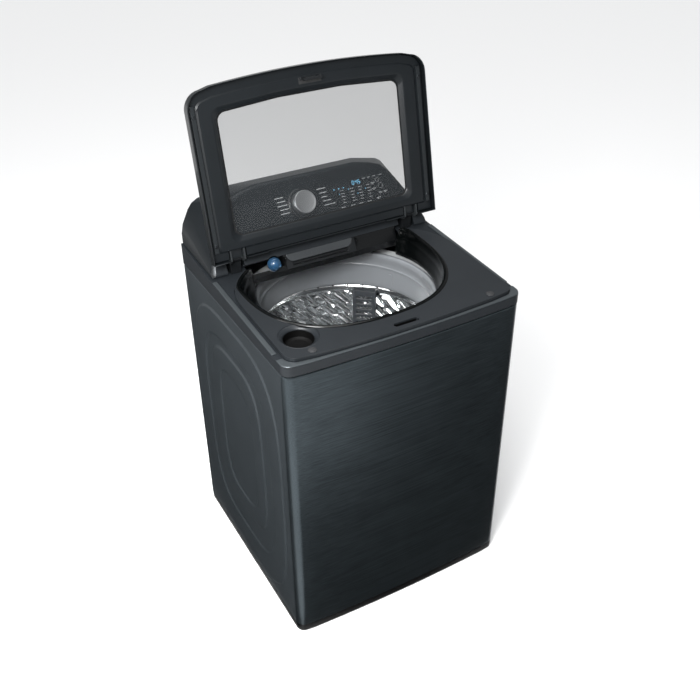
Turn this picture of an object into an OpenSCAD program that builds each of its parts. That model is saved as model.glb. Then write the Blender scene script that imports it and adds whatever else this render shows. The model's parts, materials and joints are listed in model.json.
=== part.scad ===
// Top load washing machine: sheet steel cabinet, sloping deck with a glazed lift-up lid,
// raised control console, and a suspended tub with a direct drive wash unit.
// The front faces -Y. The origin is on the floor, under the middle of the whole machine.
// The lid stands open: its hinge turns it down on to the deck.

/* [Cabinet] */
// Width of the cabinet
body_w = 686; // [650:1:760]
// Depth of the side panels, front corner to back panel
body_d = 650; // [620:1:740]
// How far the front bulges past its corners in the middle
front_bow = 10; // [6:1:16]
// How far the hose connections stand out behind the back panel
stub_d = 40; // [34:1:60]
// Height of the seam between cabinet and top cover
seam_z = 895; // [860:1:960]
// Radius of the cabinet's upright front corners
corner_r = 25; // [15:1:35]
// Thickness of the sheet steel
sheet = 1.5; // [1:0.1:2]
// Height of the plinth that carries the cabinet
plinth_h = 30; // [26:1:50]

/* [Deck and hopper] */
// Height of the sloping deck over the origin, above the seam
deck_rise = 56; // [50:1:70]
// Slope of the deck, down to the front
deck_slope = 2.65; // [1.5:0.05:4]
// Width of the raised deck panel
deck_w = 649; // [630:1:655]
// Drop from the deck down to the side rails
rail_drop = 9.5; // [7:0.5:12]
// Width of each side rail
rail_w = 13; // [10:1:15]
// Half width of the loading opening
mouth_a = 274; // [260:1:280]
// Half length of the loading opening
mouth_b = 268; // [255:1:272]
// Inner radius at the foot of the hopper
hopper_r = 245; // [240:1:248]
// Diameter of the bleach cup
cup_d = 76; // [60:1:84]

/* [Lid] */
// How far the open lid leans back past upright
lid_lean = 12; // [5:0.5:20]
// Length of the lid, hinge edge to front edge
lid_l = 450; // [445:1:455]
// Width of the lid
lid_w = 677; // [668:1:680]
// Thickness of the lid
lid_t = 31; // [28:1:36]
// Depth of the liner below the lid's rim
liner_in = 17; // [14:1:19]
// Half width of the lid's window
window_a = 262; // [220:1:270]

/* [Console] */
// Height of the console's top above the floor
console_z = 1132; // [1100:1:1180]
// Height of the console's back edge below its top
console_fall = 32; // [20:1:50]
// Diameter of the control knob
knob_d = 66; // [50:1:76]
// Height of the control knob over its ring
knob_h = 26; // [18:1:32]

/* [Tub and basket] */
// Radius of the drum, inside
drum_r = 262; // [255:1:264]
// Inner radius of the balance ring
ring_r = 238; // [230:1:242]
// Height of the balance ring's crown above the floor
ring_z = 866; // [850:1:868]
// Height of the balance ring
ring_h = 112; // [90:1:130]
// Inner radius of the outer tub
tub_r = 283; // [280:1:286]
// Height of the tub's underside above the floor
tub_z = 168; // [160:1:200]
// Radius of the pulsator
puls_r = 185; // [160:1:210]

/* [Fits] */
// Gap between pieces that only sit beside each other
gap = 0.5; // [0.3:0.1:1]
// Radial clearance of a running fit
run_fit = 0.05; // [0.03:0.01:0.1]
// Radial clearance of a fixed fit
press_fit = 0.02; // [0.01:0.01:0.03]

/* [Hidden] */
$fn = 96;
big = 2000;

// Cabinet
y_front = front_bow - (front_bow + body_d + stub_d) / 2;
y_back = y_front + body_d;
half_w = body_w / 2;
plinth_in = 6;
foot_pad_h = 8;
foot_pad_r = 22;
foot_stud_r = 5;
foot_in = 55;
foot_spots = [for (sx = [-1, 1], y = [y_front + foot_in, y_back - foot_in])
    [sx * (half_w - foot_in), y]];

// Deck frame: flat over the whole top, tilted down to the front
deck_z = seam_z + deck_rise;
floor_drop = rail_drop + 3;
wall = 3;
side_kink_y = y_front + 431;
cover_back_z = seam_z + 68;
deck_hw = deck_w / 2;
deck_front_r = 30;
deck_front_bow = 14;
deck_rear_r = 180;
deck_rear_y = y_front + 280;
hatch_y = y_front + 426;
mouth_x = -22;
mouth_y = y_front + 335;
mouth_n = 2.5;
drum_y = y_front + 323;
hopper_foot_z = ring_z + 12;
slab_t = 0.5;
cup_x = -259;
cup_y = y_front + 90;
lock_y = y_front + 19;
lock_w = 72;
bumper_x = 256;
bumper_y = y_front + 24;

// Lid: from its open place, about one axis, down on to the rails
lid_open_y = y_front + 400;
lid_open_z = seam_z + 108;
lid_shut_y = y_front + 434;
lid_shut_w = 1 - rail_drop;
lid_shut_z = deck_z + lid_shut_y * tan(deck_slope) + lid_shut_w;
lid_travel = 90 + lid_lean + deck_slope;
hinge_y = (lid_open_y + lid_shut_y) / 2 + (lid_open_z - lid_shut_z) / 2 / tan(lid_travel / 2);
hinge_z = (lid_open_z + lid_shut_z) / 2 + (lid_shut_y - lid_open_y) / 2 / tan(lid_travel / 2);
hinge_s = (hinge_y - lid_open_y) * sin(lid_lean) + (hinge_z - lid_open_z) * cos(lid_lean);
hinge_n = (hinge_z - lid_open_z) * sin(lid_lean) - (hinge_y - lid_open_y) * cos(lid_lean);
hinge_x = 266;
hinge_w = 30;
pin_r = 4;
knuckle_r = 7;
pocket_w = 50;
lid_hw = lid_w / 2;
lid_bow = 20;
lid_corner_r = 48;
lid_skin = 3;
strip_h = 6;
window_s0 = 56;
window_s1 = 383;
window_r = 22;
glass_lap = 10;
glass_t = 4;
strike_s = (lid_shut_y - lock_y) / cos(deck_slope);

// Console
console_y = y_front + 438;
console_foot_z = seam_z + 60;
console_top_y = console_y + 109;
console_rise = console_z - console_foot_z;
face_l = norm([console_top_y - console_y, console_rise]);
face_a = atan2(console_rise, console_top_y - console_y);
face_hw = 335;
back_hw = 338;
knob_x = -33;
knob_s = 130;
knob_shaft_r = 3;
ring_in_r = knob_d / 2 + 2;
ring_out_r = knob_d / 2 + 9;
fascia_t = 3;
// Half outlines of the console's face, along its slope, and of its back edge
face_half = [[face_hw, 0], [325, 30], [291, 100], [280, 120], [258, 157], [233, 185], [197, 198],
    [150, face_l]];
back_half = [[back_hw, 990], [332, 1018], [313, 1057], [301, 1073], [284, 1083]];

// Drawer, under the front of the console, sliding along the deck's slope
drawer_x0 = -124;
drawer_x1 = 95;
drawer_lean_v0 = y_front + 424;
drawer_lean_v1 = y_front + 444;
drawer_w0 = -34;
drawer_w1 = 3;
drawer_back_v = y_front + 612;
drawer_rim_w = -5;
drawer_mid = (drawer_x0 + drawer_x1) / 2 - 3;
strip_t = 2;
jet_x = -158;
jet_r = 19;
jet_v = y_front + 436;
jet_w = -12;

// Tub, basket and drive, on one upright axis
tub_wall = 5;
ring_crown_r = ring_r + 17;
tub_top_z = ring_z - 16;
rod_xy = 255;
rod_r = 3.5;
rod_top_z = seam_z - 22;
rod_cap_z = tub_z + 27;
lug_z = rod_cap_z + 55;
lug_t = 25;
rod_spots = [for (sx = [-1, 1], sy = [-1, 1]) [sx * rod_xy, drum_y + sy * rod_xy]];
spring_r = 17;
spring_wire = 4;
spring_turns = 3;
drum_wall = 2;
drum_z = tub_z + 62;
spin_r = 15;
wash_r = 8;
bearing_r = 26;
seal_h = 8;
housing_z = tub_z - 66;
rotor_z = tub_z - 112;
rotor_r = 132;
stator_r = 118;
sump_x = 150;
sump_y = 110;
pump_z = plinth_h + 14;
pump_r = 40;
pump_h = 44;
hose_r = 12;
hose_bore_r = 9;
hose_y = y_back - 26;
spigot_r = 13;
spigot_l = 30;
hose_x = 190;
hose_out_z = seam_z - 75;
valve_x = -100;
valve_gap = 62;
valve_z = seam_z + 105;
inlet_r = 13.5;
gland_x = 235;

// Points along an arc, and the outlines that use it
function arc(x, y, r, a0, a1, n) =
    [for (i = [0:n]) [x + r * cos(a0 + (a1 - a0) * i / n), y + r * sin(a0 + (a1 - a0) * i / n)]];
function mirrored(half) =
    concat(half, [for (i = [len(half) - 1:-1:0]) [-half[i][0], half[i][1]]]);
function bow_at(x, hw, bow) = bow * (1 - pow(x / hw, 2));

// Cabinet plan, inset by d: square at the back, round corners and a bowed front
function plan_half(d) = concat(
    [for (x = [0:20:half_w - corner_r - 20]) [x, y_front - bow_at(x, half_w, front_bow) + d]],
    arc(half_w - corner_r, y_front + corner_r, corner_r - d, -86, 0, 8),
    [[half_w - d, y_back - d]]);
module plan(d = 0) { polygon(mirrored(plan_half(d))); }

// Deck plan, inset by d: bowed front, small front corners, wide sweeping rear corners
function deck_half(d) = concat(
    [for (x = [0:25:deck_hw - deck_front_r - 20])
        [x, y_front + 12 - bow_at(x, deck_hw, deck_front_bow) + d]],
    arc(deck_hw - deck_front_r, y_front + 12 + deck_front_r, deck_front_r - d, -80, 0, 6),
    [for (p = arc(deck_hw - deck_rear_r, deck_rear_y, deck_rear_r - d, 0, 88, 16))
        if (p[1] < hatch_y + 20) p]);
module deck_plan(d = 0) { polygon(mirrored(deck_half(d))); }

// The loading opening, grown by d: a squared-off round, cut short at the back
function rounded(c, n) = sign(c) * pow(abs(c), 2 / n);
module mouth(d = 0) {
    intersection() {
        polygon([for (a = [0:5:355]) [mouth_x + (mouth_a + d) * rounded(cos(a), mouth_n),
            mouth_y + (mouth_b + d) * rounded(sin(a), mouth_n)]]);
        deck_plan(12 - d);
    }
}

// Lid plan, inset by d, hinge edge at y = 0
function lid_half(d) = concat(
    [[0, d - 2], [lid_hw - d, d - 2]],
    arc(lid_hw - lid_corner_r, lid_l - lid_bow - lid_corner_r + 1, lid_corner_r - d, 0, 84, 8),
    [for (x = [lid_hw - lid_corner_r - 20:-30:0]) [x, lid_l - lid_bow * pow(x / lid_hw, 2) - d]]);
module lid_plan(d = 0) { polygon(mirrored(lid_half(d))); }
module window(d = 0) {
    hull() for (sx = [-1, 1]) {
        translate([sx * (window_a - window_r + d), window_s0 + window_r - d]) circle(window_r, $fn = 32);
        translate([sx * (window_a - window_r + d), window_s1 - 10 - window_r + d]) circle(window_r, $fn = 32);
        translate([sx * 90, window_s1 - window_r + d]) circle(window_r, $fn = 32);
    }
}

// Frames of reference
module on_deck() { translate([0, 0, deck_z]) rotate([deck_slope, 0, 0]) children(); }
module on_lid() { translate([0, lid_open_y, lid_open_z]) rotate([90 - lid_lean, 0, 0]) children(); }
module on_face() { translate([0, console_y, console_foot_z]) rotate([face_a, 0, 0]) children(); }
module on_drum(z = 0) { translate([0, drum_y, z]) children(); }
module both_sides() { for (m = [0, 1]) mirror([m, 0, 0]) children(); }
module along_x(x0, x1) {
    translate([x0, 0, 0]) rotate([90, 0, 90]) linear_extrude(x1 - x0) children();
}
module ring(r_out, r_in, h) { difference() { cylinder(h, r_out, r_out); bore(r_in, h); } }
module inlet_holes(r) {
    for (i = [0, 1]) translate([valve_x + i * valve_gap, y_back + 20, valve_z]) rotate([90, 0, 0])
        cylinder(60, r, r);
}
module bore(r, h) { translate([0, 0, -1]) cylinder(h + 2, r, r); }

// Side view of the top cover's upper edge, dropped by d
module cover_side(d = 0) {
    along_x(-big, big) polygon([
        [y_front - 50, -big], [y_front - 50, deck_z + (y_front - 50) * tan(deck_slope) - rail_drop - d],
        [side_kink_y, deck_z + side_kink_y * tan(deck_slope) - rail_drop - d],
        [y_back, cover_back_z - d], [y_back + 50, cover_back_z - d], [y_back + 50, -big]]);
}

// ---- Cabinet ----

module cabinet_wrapper() {
    color("#3a3b3d") difference() {
        translate([0, 0, plinth_h]) linear_extrude(seam_z - plinth_h) difference() { plan(); plan(sheet); }
        translate([-big, y_back - sheet - 1, 0]) cube([2 * big, 100, big]);
    }
}

module rear_panel() {
    color("#8d8f91") difference() {
        union() {
            translate([-half_w + sheet + gap, y_back - sheet, plinth_h + gap])
                cube([body_w - 2 * sheet - 2 * gap, sheet, seam_z - plinth_h - 2 * gap]);
            translate([-170, y_back, 220]) cube([340, 12, 420]);
        }
        translate([-168, y_back - sheet - 1, 222]) cube([336, 11 + sheet, 416]);
        translate([hose_x, y_back + 20, hose_out_z]) rotate([90, 0, 0])
            cylinder(60, spigot_r + 2, spigot_r + 2);
    }
}

module base_frame() {
    color("#1d1e1f") difference() {
        union() {
            translate([0, 0, foot_pad_h + gap]) linear_extrude(plinth_h - foot_pad_h - gap) difference() {
                plan(plinth_in);
                square([body_w - 160, body_d - 160], center = true);
            }
            translate([0, 0, foot_pad_h + 1]) linear_extrude(plinth_h + 4) difference() {
                plan(plinth_in + 1);
                plan(plinth_in + 5);
            }
            for (p = foot_spots) translate([p[0], p[1], plinth_h - 5]) cylinder(19, 16, 16);
            translate([sump_x - 45, sump_y - 38, plinth_h - 10]) cube([90, y_back - sump_y, 16]);
        }
        for (p = foot_spots) translate([p[0], p[1], 0])
            cylinder(100, foot_stud_r + run_fit, foot_stud_r + run_fit);
    }
}

module foot(p) {
    color("#2a2a2a") translate([p[0], p[1], 0]) {
        cylinder(3, foot_pad_r - 2, foot_pad_r);
        translate([0, 0, 3]) cylinder(foot_pad_h - 3, foot_pad_r, foot_pad_r - 4);
        cylinder(plinth_h + 26, foot_stud_r, foot_stud_r);
    }
}
module foot_front_left() { foot(foot_spots[0]); }
module foot_rear_left() { foot(foot_spots[1]); }
module foot_front_right() { foot(foot_spots[2]); }
module foot_rear_right() { foot(foot_spots[3]); }

module corner_braces() {
    color("#9a9c9e") for (sx = [-1, 1], sy = [-1, 1]) {
        corner = [sx * (half_w - sheet - gap), sy > 0 ? y_back - sheet - gap : y_front + 6];
        difference() {
            translate([0, 0, rod_top_z - 10]) linear_extrude(3) polygon([
                corner, [corner[0] - sx * 150, corner[1]], [corner[0], corner[1] - sy * 150]]);
            translate([sx * rod_xy, drum_y + sy * rod_xy, rod_top_z - 20])
                cylinder(30, rod_r + 1.5, rod_r + 1.5);
            if (sy < 0) outside_front_corner(sx);
        }
    }
}
// Everything outside the sheet at one front corner
module outside_front_corner(sx) {
    translate([0, 0, rod_top_z - 20]) linear_extrude(30) difference() {
        translate([sx * half_w - 60, y_front - 40]) square([120, 80]);
        plan(sheet + gap);
    }
}

module suspension_rods() {
    color("#b9bbbd") for (p = rod_spots) translate([p[0], p[1], 0]) {
        translate([0, 0, rod_cap_z - 6]) cylinder(rod_top_z - rod_cap_z + 6, rod_r, rod_r);
        translate([0, 0, rod_top_z - 7]) cylinder(8, 9, 6);
        translate([0, 0, rod_cap_z - 6]) cylinder(6, 22, 22);
    }
}

module suspension_springs() {
    length = lug_z - rod_cap_z;
    color("#c8c9ca") for (p = rod_spots) translate([p[0], p[1], rod_cap_z])
        linear_extrude(length, twist = -360 * spring_turns, slices = 12 * spring_turns, $fn = 12)
            polygon(concat(arc(0, 0, spring_r, 0, 100, 4), arc(0, 0, spring_r - spring_wire, 100, 0, 4)));
}

module cabinet_screws() {
    color("#c0c2c4") {
        for (sx = [-1, 1], z = [120, 500, seam_z - 60])
            translate([sx * (half_w - 20), y_back, z]) rotate([-90, 0, 0]) cylinder(3, 5, 4);
        for (sx = [-1, 1], z = [seam_z + 40, seam_z + 150])
            translate([sx * 290, y_back + 0.2, z]) rotate([-90, 0, 0]) cylinder(3, 5, 4);
    }
}

module power_gland() {
    color("#222") translate([gland_x, y_back - 8, seam_z + 95]) rotate([-90, 0, 0]) difference() {
        union() { cylinder(20, 10, 8); translate([0, 0, 8.2]) cylinder(4, 14, 14); }
        bore(4.5, 20);
    }
}

// ---- Top cover, deck and hopper ----

module top_cover() {
    color("#1c1d1e") difference() {
        intersection() {
            translate([0, 0, seam_z + 2]) linear_extrude(200) plan(0.5);
            cover_side(floor_drop - rail_drop);
        }
        intersection() {
            translate([0, 0, seam_z - 10]) linear_extrude(300) plan(0.5 + wall);
            cover_side(floor_drop - rail_drop + wall);
        }
        on_deck() translate([0, 0, -80]) linear_extrude(200) {
            mouth(14);
            translate([-236, y_front + 200]) square([472, body_d - 230]);
            translate([cup_x, cup_y]) circle(cup_d / 2 + 18);
            translate([-lock_w / 2 - 6, lock_y - 12]) square([lock_w + 12, 42]);
        }
        both_sides() translate([-235, y_front + 500, seam_z]) cube([470, body_d - 520, 200]);
        inlet_holes(20);
    }
}

module on_rails() {
    on_deck() translate([0, 0, -floor_drop + 0.1]) linear_extrude(floor_drop - rail_drop) children();
}
module trim_rails() {
    color("#55575a") {
        intersection() {
            on_rails() difference() {
                plan(0.5);
                translate([-half_w + rail_w, -big]) square([body_w - 2 * rail_w, 2 * big]);
                translate([-big, side_kink_y - 8]) square([2 * big, big]);
                translate([-big, -big]) square([2 * big, big + y_front + 64]);
            }
            translate([0, 0, seam_z]) linear_extrude(200) plan(0.5);
        }
        on_rails() intersection() {
            difference() { plan(0.5); deck_plan(-1.5); }
            translate([-big, -big]) square([2 * big, big + y_front + 40]);
        }
    }
}

module deck_panel() {
    color("#4a4c4f") on_deck() difference() {
        translate([0, 0, -floor_drop + 0.2]) linear_extrude(floor_drop - 0.2) deck_plan();
        translate([0, 0, -floor_drop - 1]) linear_extrude(floor_drop + 1 - wall) difference() {
            deck_plan(wall);
            mouth(wall);
            translate([cup_x, cup_y]) circle(cup_d / 2 + 18);
        }
        translate([0, 0, -30]) linear_extrude(60) mouth();
        translate([0, 0, -30]) linear_extrude(60) translate([-big, hatch_y]) square([2 * big, 100]);
        translate([cup_x, cup_y, -30]) cylinder(60, cup_d / 2 + 12.5, cup_d / 2 + 12.5);
        translate([-lock_w / 2, lock_y - 7, -30]) cube([lock_w, 14, 60]);
        for (sx = [-1, 1]) translate([sx * bumper_x, bumper_y, -8]) cylinder(20, 5, 5);
    }
}

module hopper_form(grow, top_w, foot_z) {
    hull() {
        on_deck() translate([0, 0, top_w]) linear_extrude(slab_t) mouth(grow - gap - wall);
        on_drum(foot_z) cylinder(slab_t, hopper_r + grow, hopper_r + grow);
    }
}
module hopper() {
    color("#0e0f10") difference() {
        hopper_form(wall, -2, hopper_foot_z);
        hopper_form(0, 1, hopper_foot_z - 1);
        on_deck() translate([0, 0, -floor_drop - 1]) linear_extrude(60) difference() {
            translate([-big, 0]) square([2 * big, big]);
            mouth(-gap / 2);
        }
        on_deck() translate([-big, hatch_y - 5, -100]) cube([2 * big, 300, 150]);
    }
}

module bleach_cup() {
    color("#3e4042") on_deck() translate([cup_x, cup_y, 0]) {
        difference() {
            union() {
                translate([0, 0, -36]) cylinder(34, cup_d / 2 + 3, cup_d / 2 + 3);
                translate([0, 0, -7]) cylinder(6, cup_d / 2 + 3, cup_d / 2 + 12);
            }
            translate([0, 0, -33]) cylinder(60, cup_d / 2, cup_d / 2);
            translate([0, 0, -4.5]) cylinder(6, cup_d / 2, cup_d / 2 + 12);
        }
    }
}

module deck_bumpers() {
    color("#151515") on_deck() both_sides() translate([bumper_x, bumper_y, -6]) {
        cylinder(6, 4.8, 4.8);
        translate([0, 0, 6]) cylinder(2, 11, 10);
        translate([0, 0, 8]) cylinder(1.6, 7, 5);
    }
}

module lid_lock_housing() {
    color("#202224") on_deck() difference() {
        translate([-lock_w / 2 - 4, lock_y - 8, -44]) cube([lock_w + 8, 34, 40]);
        translate([-lock_w / 2 + 1, lock_y - 6, -38]) cube([lock_w - 2, 12, 60]);
        translate([-9, lock_y, -26]) cube([18, 40, 7]);
    }
}

module lock_bolt() {
    color("#d8d8d4") on_deck() translate([-8.6, lock_y + 7, -25.6]) cube([17.2, 30, 6.2]);
}

module hinge_brackets() {
    color("#3c3e40") both_sides() difference() {
        along_x(hinge_x - hinge_w / 2, hinge_x + hinge_w / 2) {
            translate([hinge_y, hinge_z]) circle(knuckle_r);
            polygon([[hinge_y + 1.5, hinge_z - 6], [hinge_y + 1.5, deck_z - floor_drop + 6],
                [hinge_y + 22, deck_z - floor_drop + 6], [hinge_y + 22, hinge_z - 14],
                [hinge_y + 6, hinge_z + 3]]);
        }
        translate([hinge_x - 40, hinge_y, hinge_z]) rotate([0, 90, 0])
            cylinder(80, pin_r + press_fit, pin_r + press_fit);
        cover_side(floor_drop - rail_drop - 0.2);
    }
}

module hinge_pins() {
    color("#d0d2d4") both_sides() translate([hinge_x - 22, hinge_y, hinge_z]) rotate([0, 90, 0])
        cylinder(44, pin_r, pin_r);
}

// ---- Console ----

module console_form(d) {
    hull() {
        on_face() translate([0, 0, -1 - d]) linear_extrude(1)
            polygon(mirrored([for (p = face_half) [p[0] - d, p[1] - (p[1] > 10 ? d : -d)]]));
        translate([0, y_back - d, 0]) rotate([90, 0, 0]) linear_extrude(1)
            polygon(mirrored(concat([[back_hw - d, seam_z + 50]],
                [for (p = back_half) [p[0] - d, p[1] + console_z - 1132 - d]],
                [[200, console_z - console_fall - d]])));
        translate([-face_hw + d, console_y + 2 + d, seam_z + 50]) cube([2 * face_hw - 2 * d, 1, 1]);
    }
}

module console_fascia() {
    color("#414346") difference() {
        on_face() translate([0, 0, -fascia_t]) linear_extrude(fascia_t) polygon(mirrored(face_half));
        cover_side(-0.3);
        on_face() translate([knob_x, knob_s, -20]) cylinder(40, knob_shaft_r + 1, knob_shaft_r + 1);
        hinge_notches();
        face_relief();
    }
}

module hinge_notches() {
    both_sides() translate([hinge_x - pocket_w / 2, console_y - 20, seam_z]) cube([pocket_w, 50, 112]);
}

module console_shell() {
    color("#3b3d40") difference() {
        console_form(0);
        console_form(wall);
        cover_side(-0.3);
        on_face() translate([-big, -50, -fascia_t - 0.3]) cube([2 * big, 400, 200]);
        hinge_notches();
        face_relief();
        inlet_holes(inlet_r + 1.5);
        translate([gland_x, y_back + 20, seam_z + 95]) rotate([90, 0, 0]) cylinder(60, 10.5, 10.5);
    }
}
module face_relief() {
    on_deck() {
        translate([-hinge_x + pocket_w / 2, -big, -60])
            cube([2 * hinge_x - pocket_w, big + drawer_lean_v1 + 12, 60 + drawer_w1 + 1.5]);
        translate([jet_x, jet_v, jet_w]) sphere(jet_r + 2);
        translate([jet_x, jet_v, jet_w]) rotate([-90, 0, 0]) cylinder(40, jet_r, jet_r);
    }
}

module knob_ring() {
    color("#8c9094") on_face() translate([knob_x, knob_s, 0.1]) ring(ring_out_r, ring_in_r, 4);
}

module knob() {
    color("#a4a8ac") on_face() translate([knob_x, knob_s, 1]) {
        cylinder(knob_h, knob_d / 2, knob_d / 2 - 1.5);
        translate([0, 0, -18]) cylinder(20, knob_shaft_r, knob_shaft_r);
    }
}

module knob_encoder() {
    color("#2e5a36") on_face() translate([knob_x, knob_s, -fascia_t - 16]) difference() {
        union() { cylinder(10, 14, 14); translate([-20, -20, -3]) cube([40, 40, 3]); }
        translate([0, 0, -0.2]) bore(knob_shaft_r + run_fit, 20);
    }
}

module touch_board() {
    color("#2e5a36") on_face() {
        translate([70, 80, -fascia_t - 8]) cube([160, 100, 2]);
        translate([90, 130, -fascia_t - 5.9]) cube([80, 35, 5]);
    }
}

module control_box() {
    color("#d9dadb") translate([20, console_top_y - 10, seam_z + 90]) difference() {
        cube([190, 75, 46]);
        translate([3, 3, 3]) cube([184, 69, 60]);
    }
}

module inlet_valve() {
    color("#e4e4e0") difference() {
        union() {
            for (i = [0, 1]) translate([valve_x + i * valve_gap, y_back + 1, valve_z]) rotate([90, 0, 0]) {
                translate([0, 0, -stub_d + 1]) cylinder(stub_d + 6, inlet_r, inlet_r);
                translate([0, 0, 7]) cylinder(44, 15, 15);
            }
            translate([valve_x - 22, y_back - 56, valve_z - 18]) cube([valve_gap + 44, 46, 36]);
        }
        for (i = [0, 1]) translate([valve_x + i * valve_gap, y_back + stub_d + 1, valve_z]) rotate([90, 0, 0])
            cylinder(30, 9, 9);
    }
}

module fill_ducts() {
    color("#cfd3d6") for (i = [0, 1]) translate([valve_x + i * valve_gap, y_back - 45, 0]) {
        duct_z = deck_z + (y_back - 45) * tan(deck_slope) + 2;
        translate([0, 0, duct_z]) difference() {
            cylinder(valve_z - 18.2 - duct_z, 8, 8);
            bore(6, 100);
        }
    }
}

// ---- Detergent drawer and water jet ----

module drawer_housing() {
    color("#141516") on_deck() difference() {
        union() {
            along_x(-234, 228) polygon([
                [drawer_lean_v0 + 4, -52], [drawer_lean_v0 + 4, drawer_w0], [drawer_lean_v1 + 2, drawer_w1],
                [drawer_lean_v1 + 7, drawer_w1], [drawer_lean_v0 + 9, -52]]);
            translate([drawer_x0 - 4, drawer_lean_v0 + 8, drawer_w0 - 3])
                cube([drawer_x1 - drawer_x0 + 8, drawer_back_v - drawer_lean_v0 - 4,
                    drawer_rim_w - drawer_w0 + 7]);
        }
        translate([drawer_x0, drawer_lean_v0 - 5, drawer_w0])
            cube([drawer_x1 - drawer_x0, drawer_back_v - drawer_lean_v0 + 4, drawer_rim_w - drawer_w0 + 1]);
        translate([drawer_x0, drawer_lean_v0 - 5, drawer_w0]) cube([drawer_x1 - drawer_x0, 34, 80]);
        translate([jet_x, jet_v, jet_w]) rotate([-80, 0, 0]) translate([0, 0, -30])
            cylinder(60, jet_r + 1, jet_r + 1);
        translate([-big, drawer_lean_v0 + 8.5, drawer_w0 - 2.9]) cube([big + drawer_x0 - 4, 200, 80]);
        translate([drawer_x1 + 4, drawer_lean_v0 + 30, drawer_w0 - 2.9]) cube([big, 200, 80]);
    }
}

module detergent_drawer() {
    inner = drawer_x1 - drawer_x0 - 2;
    cell = (inner - 12) / 3;
    color("#26282a") on_deck() difference() {
        along_x(drawer_x0 + 1, drawer_x1 - 1) polygon([
            [drawer_lean_v0, drawer_w0 + 1], [drawer_lean_v1, drawer_w1], [drawer_lean_v1 + 7, drawer_w1],
            [drawer_lean_v1 + 7, drawer_rim_w], [drawer_back_v - 8, drawer_rim_w],
            [drawer_back_v - 8, drawer_w0 + 1]]);
        for (i = [0:2]) translate([drawer_x0 + 4 + i * (cell + 3), drawer_lean_v1 + 7, drawer_w0 + 4])
            cube([cell, drawer_back_v - drawer_lean_v1 - 18, 60]);
        on_drawer_face() translate([0, 0, -strip_t]) linear_extrude(10) strip_outline(0.2);
        on_drawer_face() translate([drawer_mid - 86, 6, -7]) cube([172, 11, 20]);
    }
}

// Frame on the drawer's leaning face, and the boat-shaped strip let into it
module on_drawer_face() {
    translate([0, drawer_lean_v0, drawer_w0 + 1])
        rotate([atan2(drawer_w1 - drawer_w0 - 1, drawer_lean_v1 - drawer_lean_v0), 0, 0]) children();
}
module strip_outline(d) {
    half = [[0, 18.5 - d], [84 + d, 18.5 - d], [92 + d, 21.5 - d], [98 + d, 27], [101 + d, 33],
        [102 + d, 50]];
    translate([drawer_mid, 0]) polygon(mirrored(half));
}
module drawer_front() {
    color("#9b9fa2") on_deck() intersection() {
        on_drawer_face() translate([0, 0, 0.3 - strip_t]) linear_extrude(strip_t) strip_outline(0);
        translate([-big, -big, -big]) cube([2 * big, 2 * big, big + drawer_w1]);
    }
}

module jet_button() {
    color("#4aa0c8") on_deck() translate([jet_x, jet_v, jet_w]) {
        sphere(jet_r);
        rotate([-90, 0, 0]) cylinder(30, 9, 9);
    }
}

// ---- Lid ----

module hinge_pockets(n0, n1) {
    both_sides() translate([hinge_x - pocket_w / 2, -10, n0]) cube([pocket_w, 35, n1 - n0]);
}

module lid_frame() {
    color("#333538") on_lid() difference() {
        translate([0, 0, -lid_t]) linear_extrude(lid_t) lid_plan();
        translate([0, 0, lid_skin - lid_t]) linear_extrude(lid_t) lid_plan(3);
        translate([0, 0, -lid_t - 1]) linear_extrude(lid_t) window();
        hinge_pockets(lid_skin - lid_t, 1);
        translate([-182, -10, -liner_in]) cube([364, 16, 30]);
        translate([-hinge_x + pocket_w / 2 - 4, -10, -rail_drop]) cube([2 * hinge_x - pocket_w + 8, 16, 30]);
    }
}

module lid_liner() {
    color("#55585b") on_lid() difference() {
        union() {
            translate([0, 0, -liner_in - 2.5]) linear_extrude(2.5) lid_plan(3 + gap);
            translate([0, 0, -liner_in - 6]) linear_extrude(5) difference() { window(6); window(); }
            for (sx = [-1, 1]) translate([sx * (lid_hw - 16) - 6, 20, -liner_in]) cube([12, 380, strip_h]);
        }
        translate([0, 0, -lid_t]) linear_extrude(lid_t) window();
        hinge_pockets(-lid_t, 1);
    }
}

module lid_glass() {
    color("#8a9094", 0.5) on_lid() translate([0, 0, lid_skin - lid_t + 0.1])
        linear_extrude(glass_t) window(glass_lap);
}

module glass_gasket() {
    color("#101010") on_lid() translate([0, 0, lid_skin - lid_t + glass_t + 0.2])
        linear_extrude(lid_t - liner_in - lid_skin - glass_t - 6.4)
        difference() { window(glass_lap); window(2); }
}

module lid_strike() {
    color("#2b2c2e") on_lid() {
        translate([-29, strike_s - 4, -liner_in + 0.1]) cube([58, 8, 5]);
        for (sx = [-1, 1]) translate([sx * 20 - 5, strike_s - 3, -liner_in + 5]) cube([10, 6, liner_in + 4]);
        translate([-25, strike_s - 3, 3]) cube([50, 6, 6]);
    }
}

module lid_hinge_arms() {
    inner_x = hinge_x - hinge_w / 2 - 6;
    outer_x = hinge_x + hinge_w / 2 + 2;
    color("#6c6f72") on_lid() both_sides() for (x = [inner_x, outer_x]) difference() {
        along_x(x, x + 4) {
            translate([hinge_s, hinge_n]) circle(knuckle_r);
            polygon([[24, lid_skin - lid_t + 0.5], [24, -liner_in], [-6, -liner_in],
                [hinge_s - knuckle_r, -28], [hinge_s - knuckle_r, hinge_n], [hinge_s, hinge_n + 3], [hinge_s + 3, -lid_t - 2],
                [-3, lid_skin - lid_t + 0.5]]);
        }
        translate([0, hinge_s, hinge_n]) rotate([0, 90, 0])
            cylinder(big, pin_r + run_fit, pin_r + run_fit);
    }
}

module lid_screws() {
    color("#5c5e60") on_lid() both_sides() for (s = [45, 370])
        translate([lid_hw - 16, s, strip_h - liner_in + 0.1]) cylinder(1.5, 5, 4.5);
}

// ---- Tub, basket and drive ----

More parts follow.
